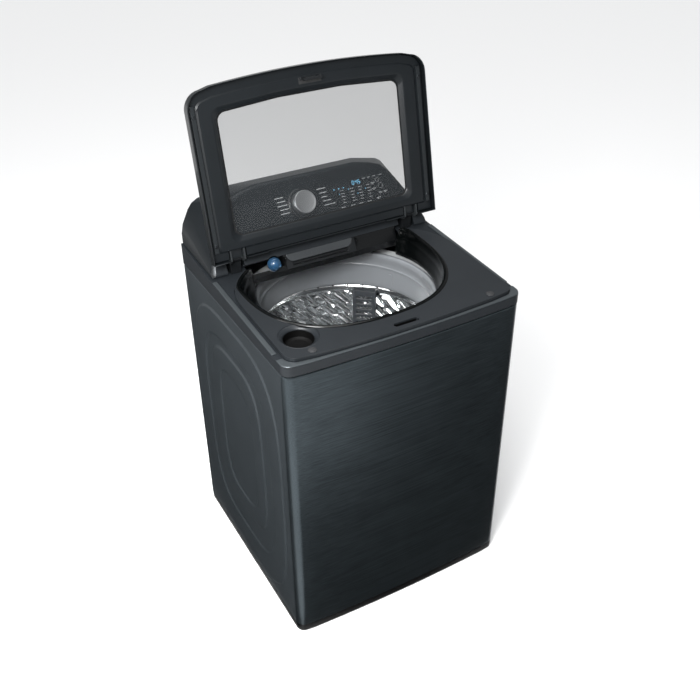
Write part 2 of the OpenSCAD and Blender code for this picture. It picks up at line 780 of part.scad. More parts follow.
module tub_profile() {
    h = tub_top_z - tub_z;
    difference() {
        square([tub_r + tub_wall, h]);
        translate([-1, tub_wall + 1]) square([tub_r + 1, h]);
        translate([-1, -1]) square([41, 30]);
    }
}

module outer_tub() {
    color("#c9cccb") difference() {
        union() {
            on_drum(tub_z) rotate_extrude() tub_profile();
            on_drum(lug_z) for (a = [45:90:315]) rotate([0, 0, a]) translate([tub_r + 2, -25, 0])
                cube([97, 50, lug_t]);
        }
        for (p = rod_spots) translate([p[0], p[1], 0]) cylinder(big, 9, 9);
        translate([sump_x, sump_y, tub_z - 10]) cylinder(30, 16, 16);
    }
}

module tub_cover() {
    color("#b9bdbd") on_drum(tub_top_z + 0.3) difference() {
        translate([0, 0, -8]) cylinder(13, tub_r + tub_wall + 4, tub_r + tub_wall + 4);
        translate([0, 0, -9]) cylinder(9, tub_r + tub_wall + 0.4, tub_r + tub_wall + 0.4);
        bore(ring_crown_r + 7, 6);
    }
}

module bearing_housing() {
    color("#a8abad") on_drum(0) difference() {
        union() {
            translate([0, 0, tub_z - 12]) cylinder(11.7, 120, 120);
            translate([0, 0, housing_z]) cylinder(60, 38, 44);
            for (a = [0:60:300]) rotate([0, 0, a]) translate([30, -4, tub_z - 30]) cube([82, 8, 20]);
        }
        translate([0, 0, housing_z - 1]) cylinder(100, bearing_r + press_fit, bearing_r + press_fit);
    }
}

module tub_bearings() {
    color("#d4d6d8") on_drum(0) {
        for (z = [housing_z + 2, tub_z - 28]) translate([0, 0, z]) ring(bearing_r, spin_r + run_fit, 15);
        translate([0, 0, tub_z - 12.5]) ring(bearing_r, spin_r + run_fit, seal_h);
    }
}

module stator() {
    color("#7c4a2a") on_drum(rotor_z + 10) difference() {
        cylinder(26, stator_r, stator_r);
        bore(62, 26);
        for (i = [0:35]) rotate([0, 0, i * 10]) translate([88, -2, -1]) cube([40, 4, 28]);
    }
    color("#7c4a2a") on_drum(rotor_z + 36) difference() {
        cylinder(housing_z + 14 - rotor_z - 36, 78, 60);
        bore(46, 40);
    }
}

module sump_hose() {
    color("#2c2c2c") translate([sump_x, sump_y, pump_z + pump_h + 26]) {
        h = tub_z - pump_z - pump_h - 26;
        difference() {
            union() {
                cylinder(h - 0.3, 17, 17);
                for (i = [1:4]) translate([0, 0, i * (h - 8) / 5]) cylinder(5, 21, 21);
            }
            bore(13, h);
        }
    }
}

module drum_basket() {
    h = ring_z - ring_h - drum_z;
    color("#cfd2d4") on_drum(drum_z) difference() {
        cylinder(h, drum_r + drum_wall, drum_r + drum_wall);
        translate([0, 0, drum_wall]) cylinder(h, drum_r, drum_r);
        bore(60, 10);
        for (i = [0:35]) rotate([0, 0, i * 10]) translate([drum_r - 5, 0, h - 22]) rotate([0, 90, 0])
            cylinder(12, 2.5, 2.5);
    }
}

module balance_ring() {
    color("#8e9294") on_drum(ring_z - ring_h + 0.2) rotate_extrude() polygon([
        [ring_r + 3, 0], [drum_r + 4, 0], [drum_r + 8, 6], [drum_r + 8, ring_h - 30],
        [ring_crown_r, ring_h - 24],
        [ring_crown_r, ring_h - 7], [ring_crown_r - 6, ring_h], [ring_r + 5, ring_h], [ring_r, ring_h - 6]]);
}

module drum_hub() {
    color("#b4b7ba") on_drum(drum_z - 24) difference() {
        union() {
            cylinder(23.7, 46, 56);
            for (a = [0:120:240]) rotate([0, 0, a]) translate([0, -22, 8]) cube([drum_r - 6, 44, 15.7]);
        }
        bore(spin_r + press_fit, 60);
    }
}

module spin_shaft() {
    color("#d8dadc") on_drum(rotor_z + 26) ring(spin_r, wash_r + run_fit, drum_z - rotor_z - 30);
}

module lint_filter() {
    color("#5a5d60") on_drum(ring_z - ring_h - 190) rotate([0, 0, 48]) difference() {
        translate([drum_r - 24, -35, 0]) cube([20, 70, 170]);
        translate([drum_r - 20, -30, 8]) cube([30, 60, 154]);
        for (i = [0:7]) translate([drum_r - 30, -24, 16 + i * 18]) cube([20, 48, 9]);
    }
}

module clutch_coupler() {
    color("#e2ddd0") on_drum(rotor_z + 27) difference() {
        cylinder(12, 27, 27);
        bore(spin_r + run_fit, 14);
        for (i = [0:11]) rotate([0, 0, i * 30]) translate([22, -2, -1]) cube([8, 4, 5]);
    }
}

module pulsator() {
    color("#6d7174") on_drum(drum_z + 6) difference() {
        union() {
            rotate_extrude() polygon(concat([[0, 0], [puls_r, 0], [puls_r, 8]],
                [for (r = [puls_r - 12:-16:20]) [r, 12 + 34 * pow(1 - r / puls_r, 1.6)]], [[0, 48]]));
            for (a = [0:60:300]) rotate([0, 0, a]) translate([34, 0, 6]) rotate([0, 82, 0])
                cylinder(puls_r - 42, 24, 14);
        }
        translate([0, 0, -40]) cube([2 * puls_r + 2, 2 * puls_r + 2, 80], center = true);
        translate([0, 0, -1]) cylinder(26, wash_r + press_fit, wash_r + press_fit);
    }
}

module wash_shaft() {
    color("#e0e2e4") on_drum(rotor_z - 6) cylinder(drum_z - rotor_z + 34, wash_r, wash_r);
}

module rotor() {
    color("#9fa2a5") on_drum(rotor_z) difference() {
        union() {
            cylinder(4, rotor_r, rotor_r);
            ring(rotor_r, stator_r + 1.5, 40);
            cylinder(22, 30, 30);
        }
        bore(wash_r + press_fit, 30);
        for (a = [0:45:315]) rotate([0, 0, a]) translate([75, 0, -1]) cylinder(10, 14, 14);
    }
}

// ---- Drain ----

module drain_pump() {
    color("#d0d0cc") translate([sump_x, sump_y, pump_z - 8]) difference() {
        union() {
            cylinder(pump_h, pump_r, pump_r);
            translate([0, 0, pump_h]) cylinder(34, 13, 13);
            translate([0, 24, 22]) rotate([-90, 0, 0]) cylinder(50, hose_bore_r, hose_bore_r);
            translate([-32, -34, 0]) cube([64, 68, 4]);
        }
        translate([0, 0, 6]) cylinder(pump_h - 12, pump_r - 5, pump_r - 5);
        translate([0, 0, pump_h - 10]) cylinder(60, 10, 10);
        translate([0, 10, 22]) rotate([-90, 0, 0]) cylinder(70, hose_bore_r - 3, hose_bore_r - 3);
    }
}

module pump_impeller() {
    color("#e8e8e8") translate([sump_x, sump_y, pump_z + 0.5]) {
        cylinder(pump_h - 16, 7, 7);
        for (a = [0:60:300]) rotate([0, 0, a]) translate([0, -1.5, 4]) cube([pump_r - 11, 3, 16]);
    }
}

module drain_hose() {
    stub_y = sump_y + 76;
    z0 = pump_z + 14;
    end_y = y_back + stub_d - 6;
    color("#8a8d90") difference() {
        union() {
            translate([sump_x, stub_y - 14, z0]) rotate([-90, 0, 0])
                cylinder(hose_y - stub_y + 14, hose_r, hose_r);
            translate([sump_x, hose_y, z0]) sphere(hose_r);
            translate([sump_x, hose_y, z0]) rotate([0, 90, 0]) cylinder(hose_x - sump_x, hose_r, hose_r);
            translate([hose_x, hose_y, z0]) sphere(hose_r);
            translate([hose_x, hose_y, z0]) cylinder(hose_out_z - z0, hose_r, hose_r);
            translate([hose_x, hose_y, hose_out_z]) sphere(hose_r);
            translate([hose_x, hose_y, hose_out_z]) rotate([-90, 0, 0])
                cylinder(end_y - hose_y, hose_r, hose_r);
            translate([hose_x, end_y - spigot_l, hose_out_z]) rotate([-90, 0, 0])
                cylinder(spigot_l, spigot_r, spigot_r);
        }
        translate([sump_x, stub_y - 20, z0]) rotate([-90, 0, 0])
            cylinder(30, hose_bore_r + 0.1, hose_bore_r + 0.1);
        translate([hose_x, hose_y + 20, hose_out_z]) rotate([-90, 0, 0])
            cylinder(stub_d + 40, hose_bore_r, hose_bore_r);
    }
}

// ---- The parts ----

cabinet_wrapper();
rear_panel();
base_frame();
corner_braces();
suspension_rods();
suspension_springs();
cabinet_screws();
power_gland();
foot_front_left();
foot_front_right();
foot_rear_left();
foot_rear_right();
top_cover();
trim_rails();
deck_panel();
hopper();
bleach_cup();
deck_bumpers();
lid_lock_housing();
lock_bolt();
hinge_brackets();
hinge_pins();
console_shell();
console_fascia();
knob_ring();
knob();
knob_encoder();
touch_board();
control_box();
inlet_valve();
fill_ducts();
drawer_housing();
detergent_drawer();
drawer_front();
jet_button();
lid_frame();
lid_liner();
lid_glass();
glass_gasket();
lid_strike();
lid_hinge_arms();
lid_screws();
outer_tub();
tub_cover();
bearing_housing();
tub_bearings();
stator();
sump_hose();
drum_basket();
balance_ring();
drum_hub();
spin_shaft();
lint_filter();
clutch_coupler();
pulsator();
wash_shaft();
rotor();
drain_pump();
pump_impeller();
drain_hose();
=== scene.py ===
"""Top load washing machine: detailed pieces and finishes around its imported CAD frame."""

import json
import logging
import math
import random
from dataclasses import dataclass, field
from enum import Enum
from typing import Any, Callable, Sequence

import bmesh
import bpy
from mathutils import Matrix, Vector

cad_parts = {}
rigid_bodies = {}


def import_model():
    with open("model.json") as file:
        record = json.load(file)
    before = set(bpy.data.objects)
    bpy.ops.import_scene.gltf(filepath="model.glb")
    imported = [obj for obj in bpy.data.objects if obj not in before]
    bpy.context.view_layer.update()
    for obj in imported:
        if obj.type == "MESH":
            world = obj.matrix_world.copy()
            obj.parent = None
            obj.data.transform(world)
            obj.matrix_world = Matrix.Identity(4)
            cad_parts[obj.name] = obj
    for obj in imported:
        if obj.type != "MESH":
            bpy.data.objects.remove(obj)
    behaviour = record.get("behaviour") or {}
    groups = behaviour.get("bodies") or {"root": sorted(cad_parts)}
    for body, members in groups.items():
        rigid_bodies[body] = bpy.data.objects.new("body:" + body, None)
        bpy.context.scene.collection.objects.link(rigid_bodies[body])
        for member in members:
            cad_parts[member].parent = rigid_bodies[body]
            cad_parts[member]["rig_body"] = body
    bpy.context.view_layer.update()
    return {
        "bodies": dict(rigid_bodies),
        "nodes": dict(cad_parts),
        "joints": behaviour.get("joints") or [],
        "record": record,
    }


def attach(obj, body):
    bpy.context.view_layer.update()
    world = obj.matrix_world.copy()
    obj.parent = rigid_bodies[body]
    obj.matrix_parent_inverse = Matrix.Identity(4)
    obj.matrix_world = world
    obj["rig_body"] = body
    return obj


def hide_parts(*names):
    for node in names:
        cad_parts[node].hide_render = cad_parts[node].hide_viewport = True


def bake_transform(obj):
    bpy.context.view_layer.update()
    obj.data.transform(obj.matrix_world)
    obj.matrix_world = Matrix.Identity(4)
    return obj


LOG = logging.getLogger("washer")
MM = 0.001
Point = tuple[float, float]
Outline = list[Point]
Point3 = tuple[float, float, float]


# ---- Colours and finishes ----


def linear(hex_colour: str) -> tuple[float, float, float, float]:
    """Turns an sRGB hex colour into linear light.

    Args:
        hex_colour: Six hex digits, with or without a leading hash.

    Returns:
        Red, green, blue and alpha as Blender's sockets take them.
    """
    digits = hex_colour.lstrip("#")
    values = [int(digits[i : i + 2], 16) / 255 for i in (0, 2, 4)]
    red, green, blue = (
        v / 12.92 if v <= 0.04045 else ((v + 0.055) / 1.055) ** 2.4 for v in values
    )
    return (red, green, blue, 1.0)


def add_node(
    tree: bpy.types.NodeTree,
    kind: str,
    settings: dict[str, Any] | None = None,
    inputs: dict[str | int, Any] | None = None,
) -> bpy.types.Node:
    """Adds one node, sets it and links it.

    Args:
        tree: Node tree that gets the node.
        kind: Node type, without its ShaderNode prefix.
        settings: Attributes to set on the node.
        inputs: Socket name or number, to a constant or to an output socket to link.

    Returns:
        The new node.
    """
    made = tree.nodes.new("ShaderNode" + kind)
    for name, value in (settings or {}).items():
        setattr(made, name, value)
    for name, value in (inputs or {}).items():
        if isinstance(value, bpy.types.NodeSocket):
            tree.links.new(value, made.inputs[name])
        else:
            made.inputs[name].default_value = value
    return made


class Grain(Enum):
    """How a surface's fine pattern was made."""

    MOULDED = "moulded"
    BRUSHED = "brushed"
    ROLLED = "rolled"
    SPANGLED = "spangled"
    SPUN = "spun"
    CAST = "cast"
    WOUND = "wound"
    PRINTED = "printed"


@dataclass(frozen=True)
class Finish:
    """One real material with the surface its making left on it.

    Attributes:
        name: Common name of the material and how it was made.
        colour: Main sRGB hex colour.
        second: sRGB hex colour that the pattern drifts towards.
        grain: Kind of pattern.
        pitch_mm: Real spacing of the pattern.
        rough: Mean roughness.
        rough_swing: How far the pattern moves the roughness either way.
        bump_mm: Depth of the pattern.
        metallic: 1 for bare metal, 0 for anything else.
        coat: Weight of a clear gloss coat.
        axis: Direction in which a brushed or spun pattern runs.
        centre_mm: Point that a spun pattern turns about.
        tilt: How far that pattern's axis leans back about X, in degrees.
        specular: Specular level, 0.5 for an IOR of 1.5.
        drift: Share of the second colour laid in by broad, soft clouds.
        strength: Share of the second colour laid in by the pattern itself.
    """

    name: str
    colour: str
    second: str
    grain: Grain
    pitch_mm: float
    rough: float
    rough_swing: float = 0.04
    bump_mm: float = 0.02
    metallic: float = 0.0
    coat: float = 0.0
    axis: str = "X"
    centre_mm: tuple[float, float, float] = (0.0, 0.0, 0.0)
    tilt: float = 0.0
    specular: float = 0.5
    drift: float = 0.3
    strength: float = 0.25

    def pattern(self, tree: bpy.types.NodeTree) -> bpy.types.NodeSocket:
        """Adds the grain's own texture in Object coordinates.

        Args:
            tree: Node tree of the material.

        Returns:
            A socket that runs from 0 to 1 over the pattern.
        """
        place = add_node(tree, "TexCoord").outputs["Object"]
        cycles = 1 / (self.pitch_mm * MM)
        if self.grain in (Grain.BRUSHED, Grain.ROLLED):
            # Strokes are some hundred and forty times as long as they are wide.
            stretch = {"X": (0.007, 1, 1), "Y": (1, 0.007, 1), "Z": (1, 1, 0.007)}[self.axis]
            laid = add_node(tree, "Mapping", None, {"Vector": place, "Scale": stretch})
            lines = add_node(tree, "TexNoise", None, {
                "Vector": laid.outputs[0], "Scale": cycles, "Detail": 3.0, "Roughness": 0.7})
            return lines.outputs["Fac"]
        if self.grain is Grain.SPANGLED:
            cells = add_node(tree, "TexVoronoi", {"feature": "F1"}, {
                "Vector": place, "Scale": cycles})
            grey = add_node(tree, "RGBToBW", None, {0: cells.outputs["Color"]})
            return grey.outputs[0]
        if self.grain is Grain.SPUN:
            centre = tuple(c * MM for c in self.centre_mm)
            moved = add_node(tree, "Mapping", {"vector_type": "TEXTURE"}, {
                "Vector": place, "Location": centre, "Rotation": (math.radians(self.tilt), 0, 0)})
            rings = add_node(tree, "TexWave", {"wave_type": "RINGS", "rings_direction": self.axis}, {
                "Vector": moved.outputs[0], "Scale": cycles / 20, "Distortion": 0.4,
                "Detail": 2.0, "Detail Scale": 4.0})
            return rings.outputs["Fac"]
        if self.grain is Grain.WOUND:
            turns = add_node(tree, "TexWave", {"bands_direction": "Z"}, {
                "Vector": place, "Scale": cycles / 20, "Distortion": 0.8})
            return turns.outputs["Fac"]
        if self.grain is Grain.PRINTED:
            tracks = add_node(tree, "TexBrick", None, {
                "Vector": place, "Scale": cycles / 4, "Mortar Size": 0.03})
            return tracks.outputs["Fac"]
        detail = 5.0 if self.grain is Grain.CAST else 2.0
        grit = add_node(tree, "TexNoise", None, {
            "Vector": place, "Scale": cycles, "Detail": detail, "Roughness": 0.6})
        return grit.outputs["Fac"]

    def material(self) -> bpy.types.Material:
        """Builds the finish once and hands the same one out after that.

        Returns:
            The Blender material.
        """
        kept = bpy.data.materials.get(self.name)
        if kept is not None:
            return kept
        made = bpy.data.materials.new(self.name)
        made.use_nodes = True
        tree = made.node_tree
        shader = tree.nodes["Principled BSDF"]
        pattern = self.pattern(tree)
        place = add_node(tree, "TexCoord").outputs["Object"]
        # Broad clouds some 90 mm across keep a large face from looking flat.
        cloud = add_node(tree, "TexNoise", None, {"Vector": place, "Scale": 11.0, "Detail": 2.0})
        clouds = add_node(tree, "MapRange", None, {
            "Value": cloud.outputs["Fac"], "From Min": 0.35, "From Max": 0.65, "To Max": self.drift})
        base = add_node(tree, "Mix", {"data_type": "RGBA"}, {
            "Factor": clouds.outputs[0], 6: linear(self.colour), 7: linear(self.second)})
        fine = add_node(tree, "MapRange", None, {
            "Value": pattern, "From Min": 0.3, "From Max": 0.7, "To Max": self.strength})
        tone = add_node(tree, "Mix", {"data_type": "RGBA"}, {
            "Factor": fine.outputs[0], 6: base.outputs[2], 7: linear(self.second)})
        tree.links.new(tone.outputs[2], shader.inputs["Base Color"])
        gloss = add_node(tree, "MapRange", None, {
            "Value": pattern, "To Min": self.rough - self.rough_swing,
            "To Max": self.rough + self.rough_swing})
        tree.links.new(gloss.outputs[0], shader.inputs["Roughness"])
        bump = add_node(tree, "Bump", None, {
            "Height": pattern, "Strength": 0.5, "Distance": self.bump_mm * MM})
        tree.links.new(bump.outputs[0], shader.inputs["Normal"])
        shader.inputs["Metallic"].default_value = self.metallic
        shader.inputs["Coat Weight"].default_value = self.coat
        shader.inputs["Specular IOR Level"].default_value = self.specular
        return made


@dataclass(frozen=True)
class ClearFinish:
    """A see-through material: window glass or tinted acrylic.

    Attributes:
        name: Common name of the material.
        tint: sRGB hex colour that light takes on in it.
        rough: Roughness of its faces.
        ior: Index of refraction.
        clarity: Transmission weight, below 1 for a milky body.
        cover: Share of the light that its tint keeps back; 1 leaves that to the clarity.
    """

    name: str
    tint: str
    rough: float
    ior: float
    clarity: float = 1.0
    cover: float = 1.0

    def material(self) -> bpy.types.Material:
        """Builds the see-through material once.

        Returns:
            The Blender material.
        """
        kept = bpy.data.materials.get(self.name)
        if kept is not None:
            return kept
        made = bpy.data.materials.new(self.name)
        made.use_nodes = True
        tree = made.node_tree
        shader = tree.nodes["Principled BSDF"]
        place = add_node(tree, "TexCoord").outputs["Object"]
        # Float glass and moulded acrylic are never dead flat: waves of 120 mm, a few microns deep.
        wave = add_node(tree, "TexNoise", None, {"Vector": place, "Scale": 8.0, "Detail": 1.0})
        smear = add_node(tree, "MapRange", None, {
            "Value": wave.outputs["Fac"], "To Min": self.rough, "To Max": self.rough + 0.03})
        tree.links.new(smear.outputs[0], shader.inputs["Roughness"])
        bump = add_node(tree, "Bump", None, {
            "Height": wave.outputs["Fac"], "Strength": 0.1, "Distance": 0.01 * MM})
        tree.links.new(bump.outputs[0], shader.inputs["Normal"])
        shader.inputs["Base Color"].default_value = linear(self.tint)
        shader.inputs["Transmission Weight"].default_value = self.clarity
        shader.inputs["IOR"].default_value = self.ior
        shader.inputs["Alpha"].default_value = self.cover
        return made


@dataclass(frozen=True)
class LitFinish:
    """A backlit mark that gives off a little light of its own, or a printed mark given a painted glow.

    Attributes:
        name: What the mark is.
        colour: sRGB hex colour.
        glow: Emission strength.
    """

    name: str
    colour: str
    glow: float

    def material(self) -> bpy.types.Material:
        """Builds the mark's material once.

        Returns:
            The Blender material.
        """
        kept = bpy.data.materials.get(self.name)
        if kept is not None:
            return kept
        made = bpy.data.materials.new(self.name)
        made.use_nodes = True
        tree = made.node_tree
        shader = tree.nodes["Principled BSDF"]
        place = add_node(tree, "TexCoord").outputs["Object"]
        # Screen ink lies in specks of about a third of a millimetre.
        speck = add_node(tree, "TexNoise", None, {"Vector": place, "Scale": 3000.0, "Detail": 1.0})
        ink = add_node(tree, "Mix", {"data_type": "RGBA"}, {
            "Factor": speck.outputs["Fac"], 6: linear(self.colour), 7: linear("#d8dadb")})
        tree.links.new(ink.outputs[2], shader.inputs["Base Color"])
        shader.inputs["Emission Color"].default_value = linear(self.colour)
        shader.inputs["Emission Strength"].default_value = self.glow
        shader.inputs["Roughness"].default_value = 0.45
        return made


# Black stainless: brushed along its width and lacquered, so highlights smear up and down.
BLACK_STEEL = Finish("black stainless steel, brushed", "#2a3033", "#4d555a", Grain.BRUSHED,
    2.4, 0.34, 0.08, 0.012, metallic=0.85, specular=0.3, drift=0.1, strength=0.45)
# Pre-painted sheet steel, rolled: a smooth dark body with a soft sheen and faint roller drag.
SIDE_PAINT = Finish("pre-painted sheet steel, rolled", "#2b3033", "#363b3f", Grain.ROLLED,
    1.4, 0.42, 0.05, 0.01, metallic=0.35, axis="Y", specular=0.3, drift=0.2)
# Hot-dipped zinc: grey spangles of about 12 mm.
ZINC = Finish("galvanised steel, hot dipped", "#8b8f92", "#a9adb0", Grain.SPANGLED,
    12.0, 0.42, 0.08, 0.01, metallic=1.0)
# Plated fasteners and rods: bright, with fine turning marks.
PLATED = Finish("zinc plated steel, turned", "#b4b8bb", "#8f9396", Grain.SPUN,
    0.8, 0.28, 0.06, 0.01, metallic=1.0)
# Talc-filled polypropylene of the base: dead matt black.
BASE_PP = Finish("filled polypropylene, moulded", "#0c0d0e", "#141516", Grain.MOULDED,
    0.9, 0.55, 0.08, 0.03)
# Foot rubber: dull black, slightly open surface.
RUBBER = Finish("EPDM rubber, moulded", "#17181a", "#222426", Grain.CAST, 0.8, 0.8, 0.06, 0.03)
# Spark-eroded ABS of the top: charcoal with a fine even texture and a satin sheen.
COVER_ABS = Finish("charcoal ABS, spark textured", "#191c1f", "#202326", Grain.MOULDED,
    0.7, 0.42, 0.06, 0.02, specular=0.2)
DECK_ABS = Finish("slate ABS, satin moulded", "#171a1d", "#1e2124", Grain.MOULDED,
    0.7, 0.4, 0.05, 0.012, specular=0.35)
# Metallic-look trim: paint with aluminium flake, brighter along its edge.
RAIL_PAINT = Finish("flake painted ABS, sprayed", "#474c4f", "#565b5e", Grain.MOULDED,
    0.5, 0.3, 0.05, 0.01, metallic=0.6)
# Piano black of the loading funnel: polished tool, so nearly a mirror.
GLOSS_ABS = Finish("black ABS, high gloss", "#020303", "#050606", Grain.MOULDED,
    3.0, 0.16, 0.02, 0.004, specular=0.3)
# Charcoal ABS of the lid liner, also laid on the console hood's sides as painted shade.
LINER_ABS_AND_SHADE = Finish("charcoal ABS, satin moulded, and hood side shade", "#0f1214", "#15181b", Grain.MOULDED,
    0.8, 0.38, 0.05, 0.012, specular=0.22)
# Lacquered console: its flake is far too fine to show, so only broad soft clouds are drawn.
CONSOLE_PAINT = Finish("graphite lacquer on ABS, sprayed", "#1f2225", "#262a2d", Grain.MOULDED,
    6.0, 0.36, 0.02, 0.001, metallic=0.3, specular=0.3, strength=0.1)
# Plinth skirt and the insides of the cup and the lock slot: near black with painted shade, so they read as shade;
# the plinth and lock case are also black plastic.
SHADE_BLACK_PP = Finish("carbon black polypropylene, painted shade", "#030303", "#060606", Grain.MOULDED,
    1.5, 0.5, 0.05, 0.01, specular=0.12)
# Balance ring: mid-grey polypropylene, satin.
RING_PP = Finish("grey polypropylene, moulded", "#66696c", "#6e7174", Grain.MOULDED,
    1.2, 0.33, 0.05, 0.01)
# Drum: bright annealed stainless, pressed, so each facet throws its own highlight.
DRUM_STEEL = Finish("stainless steel, bright annealed", "#eef0f1", "#d9dcdd", Grain.BRUSHED,
    1.0, 0.16, 0.05, 0.008, metallic=1.0, axis="Z")
PULSATOR_PP = Finish("light grey polypropylene, moulded", "#a9adb0", "#b6babc", Grain.MOULDED,
    1.0, 0.35, 0.05, 0.015)
TUB_PP = Finish("chalk-filled polypropylene, moulded", "#b9bcbd", "#c6c9ca", Grain.MOULDED,
    2.0, 0.5, 0.06, 0.02)
WHITE_PP = Finish("white polypropylene, moulded", "#d6d8d8", "#e2e4e4", Grain.MOULDED,
    1.0, 0.42, 0.05, 0.015)
CAST_ALLOY = Finish("aluminium alloy, die cast", "#9a9ea0", "#7f8385", Grain.CAST,
    1.5, 0.45, 0.1, 0.05, metallic=1.0)
COPPER = Finish("enamelled copper wire, wound", "#a2562a", "#6d3517", Grain.WOUND,
    1.2, 0.3, 0.06, 0.15, metallic=0.9)
BOARD = Finish("glass-epoxy board, printed", "#1f4a30", "#2d6340", Grain.PRINTED,
    1.6, 0.4, 0.05, 0.03)
MOTOR_STEEL = Finish("deep drawn steel, zinc plated", "#70757a", "#8a8f94", Grain.SPUN,
    1.5, 0.35, 0.06, 0.02, metallic=1.0, axis="Z", centre_mm=(0, -17, 0))
HOSE_RUBBER = Finish("ribbed EPDM hose, extruded", "#1d1f20", "#2a2c2d", Grain.WOUND,
    4.0, 0.6, 0.05, 0.4)
LATCH_PA = Finish("glass-filled nylon, moulded", "#0c0e10", "#131517", Grain.MOULDED,
    0.9, 0.48, 0.06, 0.02, specular=0.25)
BOLT_POM = Finish("acetal, moulded", "#cfd0cc", "#dcddd9", Grain.MOULDED, 1.0, 0.35, 0.05, 0.01)
ARM_STEEL = Finish("cold rolled steel, e-coated", "#2c2f31", "#3a3d3f", Grain.ROLLED,
    1.2, 0.4, 0.05, 0.01, metallic=0.5, axis="Y")
STRIP_CHROME = Finish("satin chromed ABS, electroplated", "#7e8285", "#94989b", Grain.BRUSHED,
    1.0, 0.24, 0.05, 0.006, metallic=1.0)
# Butyl sealant of the window seal; the same black also paints the shade in the strike's recess and in the drum
# rim's holes.
GASKET_AND_SHADE_BLACK = Finish("butyl sealant and painted shade black", "#0d0e0f", "#151617", Grain.CAST, 1.0, 0.7, 0.05, 0.02)
# Turned aluminium cap: rings of fine tool marks about the knob's own leaning axis.
KNOB_FACE = Finish("aluminium, diamond turned", "#e2e4e6", "#eceeef", Grain.SPUN,
    0.9, 0.36, 0.02, 0.006, metallic=1.0, axis="Z", centre_mm=(-33.0, 166.2, 1065.7), tilt=58.37)
COLLAR_PAINT = Finish("black lacquer on zinc alloy, sprayed", "#151719", "#1d1f21", Grain.MOULDED,
    0.6, 0.25, 0.04, 0.006, coat=0.3)
LID_STEEL = Finish("black stainless steel, brushed across", "#1f2326", "#2b2f32", Grain.BRUSHED,
    1.4, 0.32, 0.06, 0.015, metallic=0.75, coat=0.25, drift=0.15)
HOUSING_ABS = Finish("black ABS, semi-gloss", "#08090a", "#0e0f10", Grain.MOULDED,
    1.5, 0.22, 0.04, 0.008)
STRIP_ABS = Finish("graphite ABS, satin moulded", "#16191b", "#1e2123", Grain.MOULDED,
    0.8, 0.34, 0.05, 0.01, specular=0.3)
PLATED_DARK = Finish("black zinc plated steel", "#3a3d40", "#4a4d50", Grain.SPUN,
    0.7, 0.35, 0.05, 0.01, metallic=1.0)
FILTER_PP = Finish("slate polypropylene, moulded", "#2a2d30", "#33363a", Grain.MOULDED,
    1.0, 0.4, 0.05, 0.015)
JET_CORE = Finish("pale blue acrylic, moulded", "#456d8c", "#6a90ab", Grain.MOULDED,
    1.2, 0.3, 0.05, 0.01)
# Privacy-grey float glass: half of the light gets through, under an even grey veil.
LID_GLASS = ClearFinish("grey tempered float glass", "#2b2e30", 0.03, 1.45, clarity=0.0, cover=0.25)
# Tinted acrylic lens of the water jet.
JET_ACRYLIC = ClearFinish("blue acrylic, moulded", "#2c4f6e", 0.08, 1.49, 0.5)
# Printed legends, knob pointer and key rings: grey ink with a faint painted glow, though nothing lights them.
LEGEND_INK_GLOW = LitFinish("grey screen ink, painted glow", "#9da1a4", 0.12)
CYAN_LED = LitFinish("cyan light-emitting diode", "#35b5e6", 1.6)

# ---- Outlines, in millimetres ----


def arc(cx: float, cy: float, radius: float, start: float, end: float, steps: int) -> Outline:
    """Points along a circular arc.

    Args:
        cx: Centre, first coordinate.
        cy: Centre, second coordinate.
        radius: Radius of the arc.
        start: First angle in degrees.
        end: Last angle in degrees.
        steps: Number of chords.

    Returns:
        The points, both ends among them.
    """
    turns = [math.radians(start + (end - start) * i / steps) for i in range(steps + 1)]
    return [(cx + radius * math.cos(t), cy + radius * math.sin(t)) for t in turns]


def both_halves(half: Outline) -> Outline:
    """Closes a right-hand half outline with its mirror image.

    Args:
        half: Points from the middle line round the right side.

    Returns:
        The whole outline, without doubled points on the middle line.
    """
    left = [(-x, y) for x, y in reversed(half) if abs(x) > 1e-6]
    return half + left


def squircle(
    cx: float, cy: float, a: float, b: float, power: float, steps: int
) -> Outline:
    """A squared-off ellipse.

    Args:
        cx: Centre, first coordinate.
        cy: Centre, second coordinate.
        a: Half its width.
        b: Half its height.
        power: 2 for an ellipse, higher for squarer corners.
        steps: Number of points.

    Returns:
        The closed outline.
    """
    points = []
    for i in range(steps):
        turn = 2 * math.pi * i / steps
        c, s = math.cos(turn), math.sin(turn)
        points.append((
            cx + a * math.copysign(abs(c) ** (2 / power), c),
            cy + b * math.copysign(abs(s) ** (2 / power), s),
        ))
    return points


def ring_of(radius: float, steps: int, cx: float = 0.0, cy: float = 0.0) -> Outline:
    """A closed circle of points."""
    return squircle(cx, cy, radius, radius, 2.0, steps)


def slab(x0: float, y0: float, x1: float, y1: float) -> Outline:
    """A rectangle from its two corners."""
    return [(x0, y0), (x1, y0), (x1, y1), (x0, y1)]


def round_slab(
    x0: float, y0: float, x1: float, y1: float, radius: float, steps: int = 4
) -> Outline:
    """A rectangle with rounded corners.

    Args:
        x0: Left side.
        y0: Lower side.
        x1: Right side.
        y1: Upper side.
        radius: Corner radius.
        steps: Chords in each corner.

    Returns:
        The closed outline.
    """
    return (
        arc(x1 - radius, y1 - radius, radius, 0, 90, steps)
        + arc(x0 + radius, y1 - radius, radius, 90, 180, steps)
        + arc(x0 + radius, y0 + radius, radius, 180, 270, steps)
        + arc(x1 - radius, y0 + radius, radius, 270, 360, steps)
    )


